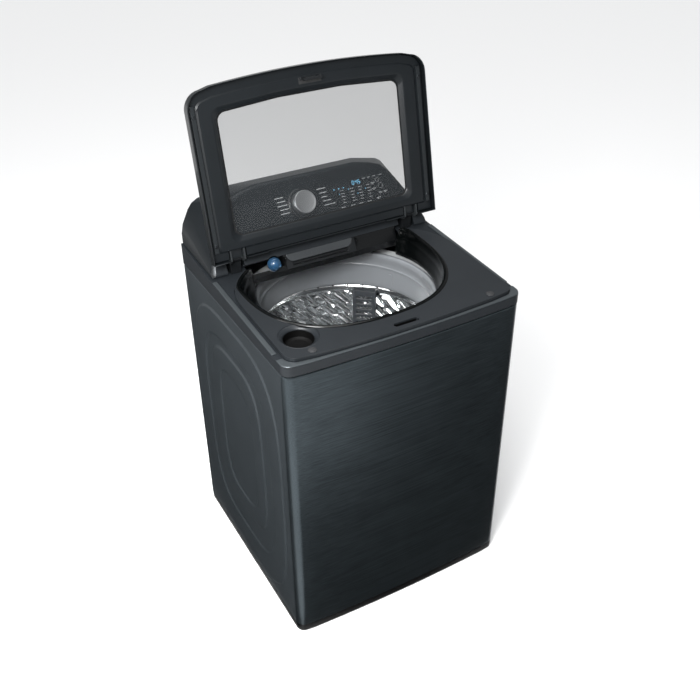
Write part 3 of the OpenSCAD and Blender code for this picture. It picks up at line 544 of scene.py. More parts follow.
def reach(outline: Outline, cx: float, cy: float, turn: float) -> float:
    """How far a ray from a point inside an outline goes before it meets it.

    Args:
        outline: Closed outline.
        cx: Start of the ray, first coordinate.
        cy: Start of the ray, second coordinate.
        turn: Direction of the ray in radians.

    Returns:
        The distance.
    """
    dx, dy = math.cos(turn), math.sin(turn)
    best = math.inf
    for (x0, y0), (x1, y1) in zip(outline, outline[1:] + outline[:1]):
        ex, ey = x1 - x0, y1 - y0
        across = dx * ey - dy * ex
        if abs(across) < 1e-9:
            continue
        along = ((x0 - cx) * ey - (y0 - cy) * ex) / across
        share = ((x0 - cx) * dy - (y0 - cy) * dx) / across
        if along > 0 and -1e-9 <= share <= 1 + 1e-9:
            best = min(best, along)
    return best


def tilted(y: float, z: float, degrees: float) -> Matrix:
    """A frame at a height and depth, leaned back about the X axis, in millimetres."""
    return Matrix.Translation((0, y, z)) @ Matrix.Rotation(math.radians(degrees), 4, "X")


DECK = tilted(0, 951, 2.65)
LID = tilted(60, 1003, 78)
FACE = tilted(98, 955, math.degrees(math.atan2(177, 109)))
DRUM_Y = -17.0


# ---- Modelling ----


class Mould:
    """A mesh in the making, in millimetres, and the object it ends as."""

    def __init__(self) -> None:
        """Starts with an empty mesh."""
        self.bm = bmesh.new()

    def loop(self, points: Sequence[Sequence[float]], closed: bool = True) -> list[bmesh.types.BMEdge]:
        """Lays a run of edges.

        Args:
            points: Places of the vertices.
            closed: Whether the last one joins the first.

        Returns:
            The new edges.
        """
        verts = [self.bm.verts.new(p) for p in points]
        ends = verts[1:] + verts[:1] if closed else verts[1:]
        return [self.bm.edges.new(pair) for pair in zip(verts, ends)]

    def loft(
        self, sections: Sequence[Sequence[Sequence[float]]], closed: bool = True, caps: bool = False
    ) -> None:
        """Bridges a row of sections with the same number of points.

        Args:
            sections: The sections in order.
            closed: Whether each section is a closed loop.
            caps: Whether the first and last sections are filled.
        """
        loops = [self.loop(s, closed) for s in sections]
        for low, high in zip(loops, loops[1:]):
            bmesh.ops.bridge_loops(self.bm, edges=low + high)
        if caps:
            for ends in (loops[0], loops[-1]):
                bmesh.ops.contextual_create(self.bm, geom=ends)

    def fill(self, loops: Sequence[list[bmesh.types.BMEdge]]) -> list[bmesh.types.BMFace]:
        """Fills the flat area between an outer loop and any holes.

        Args:
            loops: Edge loops that bound the area.

        Returns:
            The new faces.
        """
        edges = [e for run in loops for e in run]
        made = bmesh.ops.triangle_fill(self.bm, use_beauty=True, use_dissolve=False, edges=edges)
        return [g for g in made["geom"] if isinstance(g, bmesh.types.BMFace)]

    def plate(
        self,
        outlines: Sequence[Outline],
        low: float,
        high: float,
        rim: float = 0.0,
        segments: int = 3,
        frame: Matrix = Matrix(),
    ) -> None:
        """A flat panel with holes and rounded upper edges.

        Args:
            outlines: The outer outline, then any holes.
            low: Height of its underside.
            high: Height of its face.
            rim: Radius on the face's edges, 0 for sharp ones.
            segments: Facets across that radius.
            frame: Frame that the heights and outlines are in.
        """
        before = set(self.bm.verts)
        faces = self.fill([self.loop([(x, y, low) for x, y in o]) for o in outlines])
        grown = bmesh.ops.extrude_face_region(self.bm, geom=faces, use_keep_orig=True)
        raised = [g for g in grown["geom"] if isinstance(g, bmesh.types.BMVert)]
        bmesh.ops.translate(self.bm, vec=(0, 0, high - low), verts=raised)
        fresh = [v for v in self.bm.verts if v not in before]
        faces = list({f for v in fresh for f in v.link_faces})
        bmesh.ops.recalc_face_normals(self.bm, faces=faces)
        if rim > 0:
            edges = [
                e
                for e in {e for v in fresh for e in v.link_edges}
                if all(abs(v.co.z - high) < 1e-4 for v in e.verts)
                and len(e.link_faces) == 2
                and e.calc_face_angle(0) > 1.0
            ]
            bmesh.ops.bevel(
                self.bm, geom=edges, offset=rim, segments=segments, profile=0.5,
                affect="EDGES", material=-1, clamp_overlap=True,
            )
        self.place(frame, [v for v in self.bm.verts if v not in before])

    def block(
        self, low: Sequence[float], high: Sequence[float], rim: float = 0.0, frame: Matrix = Matrix()
    ) -> None:
        """A box from two corners, with every edge rounded.

        Args:
            low: Lowest corner.
            high: Highest corner.
            rim: Radius on its edges.
            frame: Frame that the corners are in.
        """
        before = set(self.bm.verts)
        size = Vector(high) - Vector(low)
        middle = Matrix.Translation((Vector(high) + Vector(low)) / 2)
        made = bmesh.ops.create_cube(self.bm, size=1.0, matrix=middle @ Matrix.Diagonal((*size, 1)))
        if rim > 0:
            edges = list({e for v in made["verts"] for e in v.link_edges})
            bmesh.ops.bevel(
                self.bm, geom=edges, offset=rim, segments=2, profile=0.5, affect="EDGES", material=-1
            )
        self.place(frame, [v for v in self.bm.verts if v not in before])

    def lathe(
        self, profile: Outline, steps: int = 96, frame: Matrix = Matrix(), closed: bool = True
    ) -> None:
        """Spins a profile of radius and height once round the upright axis.

        Args:
            profile: Radius and height of each point.
            steps: Facets round the turn.
            frame: Frame whose third axis the profile turns about.
            closed: Whether the profile's last point joins its first.
        """
        before = set(self.bm.verts)
        edges = self.loop([(r, 0, z) for r, z in profile], closed)
        verts = list({v for e in edges for v in e.verts})
        bmesh.ops.spin(
            self.bm, geom=verts + edges, cent=(0, 0, 0), axis=(0, 0, 1), dvec=(0, 0, 0),
            angle=2 * math.pi, steps=steps, use_merge=True, use_normal_flip=False, use_duplicate=False,
        )
        fresh = [v for v in self.bm.verts if v not in before]
        bmesh.ops.remove_doubles(self.bm, verts=fresh, dist=1e-3)
        self.place(frame, [v for v in self.bm.verts if v not in before])

    def place(self, frame: Matrix, verts: Sequence[bmesh.types.BMVert] | None = None) -> None:
        """Moves vertices, or everything, into a frame."""
        bmesh.ops.transform(self.bm, matrix=frame, verts=list(verts or self.bm.verts))

    def cut(self, point: Sequence[float], normal: Sequence[float]) -> None:
        """Cuts the mesh with a plane, drops what lies in front of it and closes the cut.

        Args:
            point: A point on the plane.
            normal: The plane's normal, towards what is dropped.
        """
        geom = list(self.bm.verts) + list(self.bm.edges) + list(self.bm.faces)
        made = bmesh.ops.bisect_plane(
            self.bm, geom=geom, dist=1e-4, plane_co=point, plane_no=normal, clear_outer=True
        )
        rim = [g for g in made["geom_cut"] if isinstance(g, bmesh.types.BMEdge)]
        bmesh.ops.holes_fill(self.bm, edges=rim, sides=0)

    def soften(self, radius: float, segments: int, keep: Callable[[bmesh.types.BMEdge], bool]) -> None:
        """Rounds the sharp edges that a test picks.

        Args:
            radius: Radius of the rounding.
            segments: Facets across it.
            keep: Says of an edge whether it is rounded.
        """
        edges = [
            e for e in self.bm.edges
            if len(e.link_faces) == 2 and e.calc_face_angle(0) > math.radians(18) and keep(e)
        ]
        bmesh.ops.bevel(
            self.bm, geom=edges, offset=radius, segments=segments, profile=0.5,
            affect="EDGES", material=-1, clamp_overlap=True,
        )

    def cast(
        self,
        name: str,
        body: str,
        slot: str,
        finish: "Finish | ClearFinish | LitFinish",
        replaces: Sequence[str] = (),
        smooth: float = 32.0,
        weighted: bool = True,
        outward: bool = True,
    ) -> bpy.types.Object:
        """Turns the mould into a finished piece of the machine.

        Args:
            name: Name of the piece.
            body: CAD body that it moves with.
            slot: Material slot of the record; not used.
            finish: Its material.
            replaces: CAD nodes that it stands for.
            smooth: Steepest angle in degrees that still shades as a curve.
            weighted: Whether large faces keep flat shading beside small roundings.
            outward: Whether its faces are turned outwards here.

        Returns:
            The object.
        """
        if outward:
            bmesh.ops.remove_doubles(self.bm, verts=self.bm.verts, dist=1e-3)
            bmesh.ops.recalc_face_normals(self.bm, faces=self.bm.faces)
        bmesh.ops.scale(self.bm, vec=(MM, MM, MM), verts=self.bm.verts)
        mesh = bpy.data.meshes.new(name)
        self.bm.to_mesh(mesh)
        self.bm.free()
        made = bpy.data.objects.new(name, mesh)
        bpy.context.scene.collection.objects.link(made)
        return dress(made, body, finish, replaces, smooth, weighted)


def dress(
    piece: bpy.types.Object,
    body: str,
    finish: "Finish | ClearFinish | LitFinish",
    replaces: Sequence[str] = (),
    smooth: float = 32.0,
    weighted: bool = True,
) -> bpy.types.Object:
    """Gives a piece its shading, material, slot and body.

    Args:
        piece: Object whose mesh is in place.
        body: CAD body that it moves with.
        finish: Its material.
        replaces: CAD nodes that it stands for.
        smooth: Steepest angle in degrees that still shades as a curve.
        weighted: Whether large faces keep flat shading beside small roundings.

    Returns:
        The same object.
    """
    piece.data.materials.append(finish.material())
    piece.data.shade_smooth()
    piece.data.set_sharp_from_angle(angle=math.radians(smooth))
    if weighted:
        shade = piece.modifiers.new("even shading", "WEIGHTED_NORMAL")
        shade.keep_sharp = True
        shade.weight = 60
    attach(piece, body)
    if replaces:
        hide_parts(*replaces)
    return piece


def twin(frame: dict[str, Any], node: str, name: str) -> bpy.types.Object:
    """A loose copy of a CAD node with its triangles joined into whole faces.

    Args:
        node: CAD node to copy.
        name: Name of the copy.

    Returns:
        The copy, which rides on nothing yet.
    """
    mesh = bpy.data.meshes.new(name)
    bm = bmesh.new()
    bm.from_mesh(frame["nodes"][node].data)
    bmesh.ops.remove_doubles(bm, verts=bm.verts, dist=2e-6)
    bmesh.ops.dissolve_limit(
        bm, angle_limit=math.radians(1.0), verts=bm.verts, edges=bm.edges, use_dissolve_boundaries=False
    )
    bm.to_mesh(mesh)
    bm.free()
    made = bpy.data.objects.new(name, mesh)
    bpy.context.scene.collection.objects.link(made)
    return made


def eased(
    frame: dict[str, Any],
    node: str,
    name: str,
    finish: "Finish | ClearFinish | LitFinish",
    radius: float,
    segments: int = 2,
    smooth: float = 32.0,
) -> bpy.types.Object:
    """A copy of a CAD node with its sharp edges rounded as its making leaves them.

    Args:
        node: CAD node to copy.
        name: Name of the piece.
        finish: Its material.
        radius: Radius on its edges, in millimetres.
        segments: Facets across that radius.
        smooth: Steepest angle in degrees that still shades as a curve.

    Returns:
        The piece.
    """
    made = twin(frame, node, name)
    dress(made, frame["nodes"][node]["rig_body"], finish, [node], smooth, weighted=False)
    easing = made.modifiers.new("eased edges", "BEVEL")
    easing.width = radius * MM
    easing.segments = segments
    easing.limit_method = "ANGLE"
    easing.angle_limit = math.radians(40)
    easing.use_clamp_overlap = True
    easing.harden_normals = False
    shade = made.modifiers.new("even shading", "WEIGHTED_NORMAL")
    shade.keep_sharp = True
    return made


def carve(piece: bpy.types.Object, cutters: Sequence[Mould]) -> None:
    """Takes closed shapes out of a piece for good.

    Args:
        piece: Object that loses material.
        cutters: Closed shapes, used up here.
    """
    spent = []
    for cutter in cutters:
        bmesh.ops.recalc_face_normals(cutter.bm, faces=cutter.bm.faces)
        bmesh.ops.scale(cutter.bm, vec=(MM, MM, MM), verts=cutter.bm.verts)
        mesh = bpy.data.meshes.new("cutter")
        cutter.bm.to_mesh(mesh)
        cutter.bm.free()
        tool = bpy.data.objects.new("cutter", mesh)
        bpy.context.scene.collection.objects.link(tool)
        step = piece.modifiers.new("cut", "BOOLEAN")
        step.operation = "DIFFERENCE"
        step.solver = "EXACT"
        step.object = tool
        spent.append(tool)
    bpy.context.view_layer.update()
    seen = piece.evaluated_get(bpy.context.evaluated_depsgraph_get())
    result = bpy.data.meshes.new_from_object(seen)
    piece.modifiers.clear()
    worn, piece.data = piece.data, result
    bpy.data.meshes.remove(worn)
    for tool in spent:
        bpy.data.meshes.remove(tool.data)


# ---- Sub-assemblies ----


@dataclass
class Cabinet:
    """Sheet steel body: bowed brushed front, embossed painted sides, back, base and feet.

    Attributes:
        half: Half the width across the flat of the sides.
        front: Depth of the front corners.
        back: Depth of the side panels' rear edge.
        bow: How far the middle of the front stands out.
        corner: Radius of the front corners.
        foot: Height of the steel's lower edge.
        seam: Height of its upper edge.
        press: Depth of the embossing.
        slope: Width of an embossed step.
        rings: Half width, half height and middle height of each embossed step, outermost first.
    """

    frame: dict[str, Any]
    half: float = 341.2
    front: float = -340.0
    back: float = 309.5
    bow: float = 9.6
    corner: float = 25.0
    foot: float = 30.4
    seam: float = 894.6
    press: float = 3.8
    slope: float = 5.0
    rings: tuple[tuple[float, float, float], ...] = (
        (281.0, 401.0, 451.0), (212.0, 320.0, 460.0), (166.0, 268.0, 481.0), (110.0, 208.0, 478.0))
    made: list[bpy.types.Object] = field(default_factory=list)

    def wrap(self, inset: float) -> Outline:
        """The front and its corners from above, from the left side round to the right.

        Args:
            inset: How far inside the sheet's outer face.

        Returns:
            An open run of points.
        """
        reach_x = self.half - self.corner
        half = [
            (x, self.front - self.bow * (1 - (x / self.half) ** 2) + inset)
            for x in (reach_x - 20 - 20 * i for i in range(15))
        ]
        corner = arc(reach_x, self.front + self.corner, self.corner - inset, 0, -86, 9)
        right = [(self.half - inset, self.back)] + corner + half
        left = [(-x, y) for x, y in right]
        return left + [(0.0, self.front - self.bow + inset)] + right[::-1]

    def wrapper(self) -> None:
        """Folds the sheet round three sides, rolls its top edge in and embosses the sides."""
        mould = Mould()
        roll = [(self.foot, 0.0), (self.seam - 4, 0.0), (self.seam - 1.4, 1.0), (self.seam, 3.2)]
        mould.loft([[(x, y, z) for x, y in self.wrap(inset)] for z, inset in roll], closed=False)
        flat = [f for f in mould.bm.faces if abs(f.normal.x) > 0.99 and f.calc_area() > 1e5]
        bmesh.ops.delete(mould.bm, geom=flat, context="FACES")
        kink = self.front + self.corner
        for side in (-1, 1):
            outer = mould.loop([
                (side * self.half, y, z)
                for y, z in slab(kink, self.foot, self.back, self.seam - 4)])
            loops = []
            for index, (a, b, middle) in enumerate(self.rings):
                for grow, rise in ((1.0, 0.0), (0.35, 0.22), (-0.35, 0.78), (-1.0, 1.0)):
                    out = self.press * (rise if index % 2 == 0 else 1 - rise)
                    spread = grow * self.slope
                    loops.append(mould.loop([
                        (side * (self.half + out), y, z)
                        for y, z in squircle(-3, middle, a + spread, b + spread, 3.8, 88)]))
            # The flats lie between one step's last loop and the next one's first.
            flats = [[outer, loops[0]]]
            for step in range(0, len(loops), 4):
                for low, high in zip(loops[step:step + 3], loops[step + 1:step + 4]):
                    bmesh.ops.bridge_loops(mould.bm, edges=low + high)
                flats.append(loops[step + 3:step + 5])
            for flat_loops in flats:
                mould.fill(flat_loops)
        bmesh.ops.remove_doubles(mould.bm, verts=mould.bm.verts, dist=0.05)
        bmesh.ops.recalc_face_normals(mould.bm, faces=mould.bm.faces)
        probe = max(mould.bm.faces, key=lambda f: f.calc_center_median().x)
        if probe.normal.x < 0:
            bmesh.ops.reverse_faces(mould.bm, faces=mould.bm.faces)
        sheet = mould.cast("cabinet_wrapper_sheet", "cabinet", "brushed_black_steel", BLACK_STEEL,
            ["cabinet_wrapper"], outward=False, weighted=False)
        sheet.data.materials.append(SIDE_PAINT.material())
        for face in sheet.data.polygons:
            face.material_index = 1 if face.center.y > kink * MM - 0.001 and abs(face.normal.x) > 0.5 else 0
        wall = sheet.modifiers.new("sheet", "SOLIDIFY")
        wall.thickness = 0.9 * MM
        wall.offset = -1
        shade = sheet.modifiers.new("even shading", "WEIGHTED_NORMAL")
        shade.keep_sharp = True
        self.made.append(sheet)

    def plinth(self) -> None:
        """Moulds the black skirt between the steel's lower edge and the floor."""
        mould = Mould()
        rows = [(4.6, 3.0), (6.0, 1.4), (25.0, 0.4), (28.6, 0.4), (30.2, 2.0)]
        mould.loft([[(x, y, z) for x, y in self.wrap(inset)] for z, inset in rows], closed=False)
        bmesh.ops.recalc_face_normals(mould.bm, faces=mould.bm.faces)
        probe = max(mould.bm.faces, key=lambda f: f.calc_center_median().x)
        if probe.normal.x < 0:
            bmesh.ops.reverse_faces(mould.bm, faces=mould.bm.faces)
        # The skirt is black plastic, made darker still with painted shade.
        skirt = mould.cast("plinth_skirt", "cabinet", "black_plinth", SHADE_BLACK_PP, outward=False, weighted=False)
        wall = skirt.modifiers.new("wall", "SOLIDIFY")
        wall.thickness = 2.0 * MM
        wall.offset = -1
        self.made.append(skirt)

    def base_and_back(self) -> None:
        """Rounds the moulded base, the back panel and what hangs on them."""
        rows = [
            ("base_frame", "base_moulding", "black_plinth", BASE_PP, 1.5),
            ("rear_panel", "back_sheet", "galvanised_steel", ZINC, 1.2),
            ("corner_braces", "hanging_corners", "galvanised_steel", ZINC, 0.6),
            ("power_gland", "cable_gland", "black_plinth", BASE_PP, 0.6),
            ("cabinet_screws", "cabinet_screw_heads", "zinc_steel", PLATED, 0.5),
        ]
        for node, name, slot, finish, radius in rows:
            self.made.append(eased(self.frame, node, name, finish, radius))

    def vents(self) -> None:
        """Presses two rows of louvres and three stiffening beads into the back."""
        mould = Mould()
        for column in range(-4, 5):
            for z in (690, 716):
                mould.block((column * 34 - 12, self.back + 0.2, z), (column * 34 + 12, self.back + 5, z + 7), 2.2)
        for z in (140, 760, 830):
            mould.block((-300, self.back + 0.2, z), (120, self.back + 3.4, z + 9), 2.6)
        self.made.append(mould.cast("back_louvres", "cabinet", "galvanised_steel", ZINC))

    def feet(self) -> None:
        """Turns four feet: rubber pad with a ribbed skirt, and stud."""
        for side, sx in (("left", -1), ("right", 1)):
            for end, y in (("front", self.front + 55), ("rear", 310 - 55)):
                body = f"foot_{end}_{side}"
                spot = Matrix.Translation((sx * 288.0, y, 0))
                pad = Mould()
                pad.lathe([(0, 0), (19, 0), (20.5, 0.8), (21.6, 2.4), (22, 3.4), (21.4, 4.2), (19.6, 4.8),
                    (19.2, 6.2), (18, 7.6), (12, 8), (0, 8)], 40, spot, closed=False)
                self.made.append(pad.cast(body + "_pad", body, "foot_rubber", RUBBER, [body]))
                stud = Mould()
                stud.lathe([(0, 7.8), (4.6, 7.8)] + [
                    p for i in range(22) for p in ((4.95, 8.4 + i * 2), (4.3, 9.4 + i * 2))
                ] + [(4.2, 55.5), (0, 56)], 24, spot, closed=False)
                self.made.append(stud.cast(body + "_stud", body, "foot_rubber", PLATED))

    def build(self) -> list[bpy.types.Object]:
        """Builds every piece of the cabinet."""
        self.wrapper()
        self.plinth()
        self.base_and_back()
        self.vents()
        self.feet()
        return self.made


@dataclass
class Deck:
    """The top: cover, rails, deck panel, loading funnel, cup, bumpers, lock and hinge towers.

    Attributes:
        half: Half the deck panel's width.
        front: Depth of the deck panel's front corners.
        hatch: Depth at which the deck panel ends under the console.
        mouth: Middle and half sizes of the loading opening.
        lip: Width of the gloss lip that rolls over its edge.
        steps: Points round the opening.
    """

    frame: dict[str, Any]
    half: float = 324.5
    front: float = -328.0
    hatch: float = 86.0
    mouth: tuple[float, float, float, float] = (-22.0, -5.0, 274.0, 268.0)
    lip: float = 7.0
    steps: int = 144
    made: list[bpy.types.Object] = field(default_factory=list)

    def rim(self, inset: float) -> Outline:
        """The right half of the deck's outer edge, front middle to back.

        Args:
            inset: How far inside that edge.

        Returns:
            The points.
        """
        bow = [(x, self.front - 14 * (1 - (x / self.half) ** 2) + inset) for x in range(0, 275, 25)]
        corner = arc(self.half - 30, self.front + 30, 30 - inset, -80, 0, 7)
        sweep = arc(self.half - 180, -60, 180 - inset, 0, 88, 40)
        return bow + corner + sweep

    def opening(self, grow: float, stop: bool = True) -> Outline:
        """The loading opening from its right rear end, clockwise round the front to the left rear.

        Args:
            grow: How far outside the opening's edge.
            stop: Whether it ends at the hatch line or runs all the way round.

        Returns:
            The points, an open run if it stops.
        """
        cx, cy, a, b = self.mouth
        limit = both_halves(self.rim(12 - grow))
        points = []
        for i in range(self.steps):
            turn = math.radians(90 - 360 * i / self.steps)
            c, s = math.cos(turn), math.sin(turn)
            oval = (abs(c / (a + grow)) ** 2.5 + abs(s / (b + grow)) ** 2.5) ** (-1 / 2.5)
            out = min(oval, reach(limit, cx, cy, turn))
            points.append((cx + out * c, cy + out * s))
        if not stop:
            return points
        kept = [p for p in points if p[1] < self.hatch]
        first, last = kept[0], kept[-1]
        return [(first[0], self.hatch)] + kept + [(last[0], self.hatch)]

    def panel(self) -> None:
        """Moulds the deck panel with its cup hole, lock slot and rounded edges."""
        right = [p for p in self.rim(0) if p[1] < self.hatch - 4] + [
            (self.half - 180 + math.sqrt(180**2 - (self.hatch + 60) ** 2), self.hatch)]
        left = [(-x, y) for x, y in reversed(right) if x > 1e-6]
        outline = right + self.opening(self.lip) + left
        holes = [
            ring_of(50.6, 48, -259, -250),
            round_slab(-36, -328, 36, -314, 6.9, 6),
            ring_of(4.9, 20, -256, -316),
            ring_of(4.9, 20, 256, -316),
        ]
        mould = Mould()
        mould.plate([outline] + holes, -12.2, 0.0, 2.6, 4, DECK)
        self.made.append(mould.cast("deck_moulding", "cabinet", "charcoal_deck", DECK_ABS, ["deck_panel"]))

    def funnel(self) -> None:
        """Moulds the gloss funnel: lip, shoulder, a step in its throat, then the drum's own round."""
        cx, cy = self.mouth[:2]
        rows = [(0.0, -0.9), (0.0, -4.0), (0.10, -9.0), (0.20, -17.0), (0.205, -20.0), (0.30, -22.5),
            (0.42, -31.0), (0.62, -44.0), (0.85, -60.0), (1.0, -74.0)]
        top = self.opening(-0.5, stop=False)
        roll = [(self.lip - 0.2, -3.0), (self.lip - 0.2, -0.4), (self.lip - 1.4, 0.9), (self.lip - 3.4, 1.3), (1.6, 0.8)]
        sections = [[tuple(DECK @ Vector((x, v, level))) for x, v in self.opening(grow, stop=False)]
            for grow, level in roll]
        for share, drop in rows:
            section = []
            for x, v in top:
                turn = math.atan2(v - cy, x - cx)
                at = DECK @ Vector((x, v, max(drop, -40)))
                foot = Vector((245.4 * math.cos(turn), DRUM_Y + 245.4 * math.sin(turn), 878))
                level = at.z if share == 0 else at.z + (878 - at.z) * max(0.0, (-drop - 9) / 65)
                place = at.lerp(foot, share)
                section.append((place.x, place.y, level))
            sections.append(section)
        mould = Mould()
        mould.loft(sections)
        bmesh.ops.bisect_plane(mould.bm, geom=[*mould.bm.verts, *mould.bm.edges, *mould.bm.faces],
            dist=1e-4, plane_co=(0, 84, 0), plane_no=(0, 1, 0), clear_outer=True)
        bmesh.ops.recalc_face_normals(mould.bm, faces=mould.bm.faces)
        low = min(mould.bm.faces, key=lambda f: f.calc_center_median().y)
        if low.normal.y < 0:
            bmesh.ops.reverse_faces(mould.bm, faces=mould.bm.faces)
        piece = mould.cast("funnel", "cabinet", "black_gloss", GLOSS_ABS, ["hopper"],
            weighted=False, outward=False, smooth=50)
        wall = piece.modifiers.new("wall", "SOLIDIFY")
        wall.thickness = 2.2 * MM
        wall.offset = -1
        self.made.append(piece)

    def fittings(self) -> None:
        """Moulds the bleach cup, a near-black sheet inside it that paints its shade, and the lid bumpers."""
        cup = Mould()
        cup.lathe([(50.2, -0.9), (48.5, -0.35), (45.5, -1.6), (41.6, -4.6), (39.6, -6.2), (38.4, -8.6),
            (38, -12), (37.4, -27), (35, -31), (30, -32.6), (0, -33), (0, -36), (40.6, -36),
            (41, -8), (50.2, -6.6)], 72, DECK @ Matrix.Translation((-259, -250, 0)), closed=False)
        self.made.append(cup.cast("bleach_well", "cabinet", "cup_plastic", DECK_ABS, ["bleach_cup"]))
        # A near-black sheet inside the cup paints the shade on its floor and wall.
        floor = Mould()
        floor.lathe([(0, -31.6), (26, -31.6), (31, -30.6), (35.6, -27.4), (37.6, -14), (37.9, -9.5), (38.25, -9.5),
            (37.7, -14), (36, -30), (30, -32.4), (0, -32.4)], 60,
            DECK @ Matrix.Translation((-259, -250, 0)), closed=False)
        self.made.append(floor.cast("bleach_well_shade_lining", "cabinet", "cup_plastic", SHADE_BLACK_PP))
        pads = Mould()
        for side in (-1, 1):
            pads.lathe([(0, -5.8), (4.7, -5.8), (4.8, 0.1), (10.6, 0.1), (10.9, 0.8), (10, 1.9), (7.4, 2.3),
                (6.6, 3.2), (4.6, 3.6), (0, 3.6)], 36,
                DECK @ Matrix.Translation((side * 256, -316, 0)), closed=False)
        self.made.append(pads.cast("lid_bumpers", "cabinet", "foot_rubber", RUBBER, ["deck_bumpers"]))

    def lock_and_towers(self) -> None:
        """Rounds the cover, rails, lock case, bolt, hinge towers and pins."""
        rows = [
            ("top_cover", "cover_moulding", "charcoal_cover", COVER_ABS, 1.2),
            ("trim_rails", "side_and_front_rails", "satin_rail", RAIL_PAINT, 1.1),
            # The lock case is black plastic, made darker still with painted shade in its slot.
            ("lid_lock_housing", "lock_case", "black_gloss", SHADE_BLACK_PP, 0.6),
            ("lock_bolt", "lock_tongue", "white_plastic", BOLT_POM, 0.5),
            ("hinge_brackets", "hinge_towers", "charcoal_cover", LATCH_PA, 1.0),
            ("hinge_pins", "hinge_pin_pair", "zinc_steel", PLATED, 0.4),
        ]
        for node, name, slot, finish, radius in rows:
            self.made.append(eased(self.frame, node, name,
                finish, radius))

    def build(self) -> list[bpy.types.Object]:
        """Builds every piece of the top."""
        self.panel()
        self.funnel()
        self.fittings()
        self.lock_and_towers()
        return self.made


@dataclass
class Console:
    """The raised hood with its sloping face, knob, marks and display.

    Attributes:
        face: Half outline of the sloping face, in its own frame.
        rear: Half outline of the hood's back edge, as width and height.
        back: Depth of the hood's back.
        knob: Place of the knob on the face.
    """

    frame: dict[str, Any]
    face: tuple[Point, ...] = ((335, 0), (325, 30), (291, 100), (280, 120), (258, 157), (233, 185),
        (197, 198), (150, 207.9))
    rear: tuple[Point, ...] = ((338, 945), (338, 990), (332, 1018), (313, 1057), (301, 1073),
        (284, 1083), (200, 1100))
    back: float = 310.0
    knob: Point = (-33.0, 130.0)
    made: list[bpy.types.Object] = field(default_factory=list)

    def hood(self) -> None:
        """Shapes the hood as one skin over face and back, rounds it and clears the lid's path."""
        mould = Mould()
        points = [FACE @ Vector((x, s, 0)) for x, s in both_halves(list(self.face))]
        points += [Vector((x, self.back, z)) for x, z in both_halves(list(self.rear))]
        points += [Vector((side * 335, 100, 940)) for side in (-1, 1)]
        verts = [mould.bm.verts.new(p) for p in points]
        bmesh.ops.convex_hull(mould.bm, input=verts)
        bmesh.ops.dissolve_limit(mould.bm, angle_limit=math.radians(1.5),
            verts=mould.bm.verts, edges=mould.bm.edges)
        face_up = (FACE.to_3x3() @ Vector((0, 0, 1))).normalized()

        def on_face_rim(edge: bmesh.types.BMEdge) -> bool:
            """Whether an edge bounds the sloping face above the cover."""
            touches = any(f.normal.dot(face_up) > 0.999 for f in edge.link_faces)
            return touches and max(v.co.z for v in edge.verts) > 960

        mould.soften(11, 6, on_face_rim)
        mould.soften(4, 3, lambda e: all(abs(v.co.y - self.back) < 0.5 for v in e.verts)
            and max(v.co.z for v in e.verts) > 960)
        mould.cut((0, 91, 946.1), (0, 0.0788, -0.9969))
        piece = mould.cast("console_hood", "cabinet", "charcoal_cover", CONSOLE_PAINT,
            ["console_shell", "console_fascia"], smooth=40, weighted=False)
        cutters = []
        for side in (-1, 1):
            notch = Mould()
            notch.block((side * 266 - 25, 60, 890), (side * 266 + 25, 128, 1007))
            cutters.append(notch)
        relief = Mould()
        relief.block((-241, -400, -80), (241, 116, 4.5), frame=DECK)
        pocket = Mould()
        pocket.block((-127, 60, -80), (98, 280, -0.5), frame=DECK)
        bore = Mould()
        bore.lathe([(0, -2), (21, -2), (21, 27), (0, 27)], 48,
            DECK @ Matrix.Translation((-158, 96, -12)) @ Matrix.Rotation(math.radians(-90), 4, "X"), closed=False)
        carve(piece, cutters + [relief, pocket, bore])
        piece.data.shade_smooth()
        piece.data.set_sharp_from_angle(angle=math.radians(40))
        # The hood's side faces take the darker liner finish: painted shade on its ends.
        piece.data.materials.append(LINER_ABS_AND_SHADE.material())
        for face in piece.data.polygons:
            if abs(face.normal.x) > 0.6:
                face.material_index = 1
        shade = piece.modifiers.new("even shading", "WEIGHTED_NORMAL")
        shade.keep_sharp = True
        self.made.append(piece)

    def dial(self) -> None:
        """Turns the knob and the dark ring that it stands in."""
        spot = FACE @ Matrix.Translation((*self.knob, 0))
        knob = Mould()
        knob.lathe([(0, 25.2), (12, 25.35), (24, 25.9), (28.6, 26.6), (30.2, 27), (31.3, 26.5), (31.9, 25),
            (32.5, 14), (32.9, 3), (32.6, 1.4), (31.6, 1), (0, 1)], 120, spot, closed=False)
        self.made.append(knob.cast("control_knob", "knob", "spun_aluminium", KNOB_FACE, ["knob"],
            smooth=40))
        pointer = Mould()
        pointer.block((-0.7, 26.4, 26.2), (0.7, 31.0, 27.1), 0.3, spot @ Matrix.Rotation(math.radians(52), 4, "Z"))
        self.made.append(pointer.cast("knob_pointer", "knob", "spun_aluminium", LEGEND_INK_GLOW))
        ring = Mould()
        ring.lathe([(35.1, 0.15), (41.2, 0.15), (41.9, 0.9), (41.7, 2.2), (40.6, 3.5), (39, 4.05),
            (36.4, 4.05), (35.3, 3.2)], 96, spot)
        self.made.append(ring.cast("knob_collar", "cabinet", "spun_aluminium", COLLAR_PAINT, ["knob_ring"]))

    def marks(self, name: str, finish: "LitFinish", boxes: Sequence[tuple[float, float, float, float]]) -> None:
        """Prints a set of small marks on the face.

        Args:
            name: Name of the piece.
            finish: Their ink or lamp.
            boxes: Left, lower, right and upper edge of each mark on the face.
        """
        mould = Mould()
        for x0, s0, x1, s1 in boxes:
            mould.block((x0, s0, -0.2), (x1, s1, 0.16), 0.0, FACE)
        self.made.append(mould.cast(name, "cabinet", "charcoal_deck", finish, weighted=False))

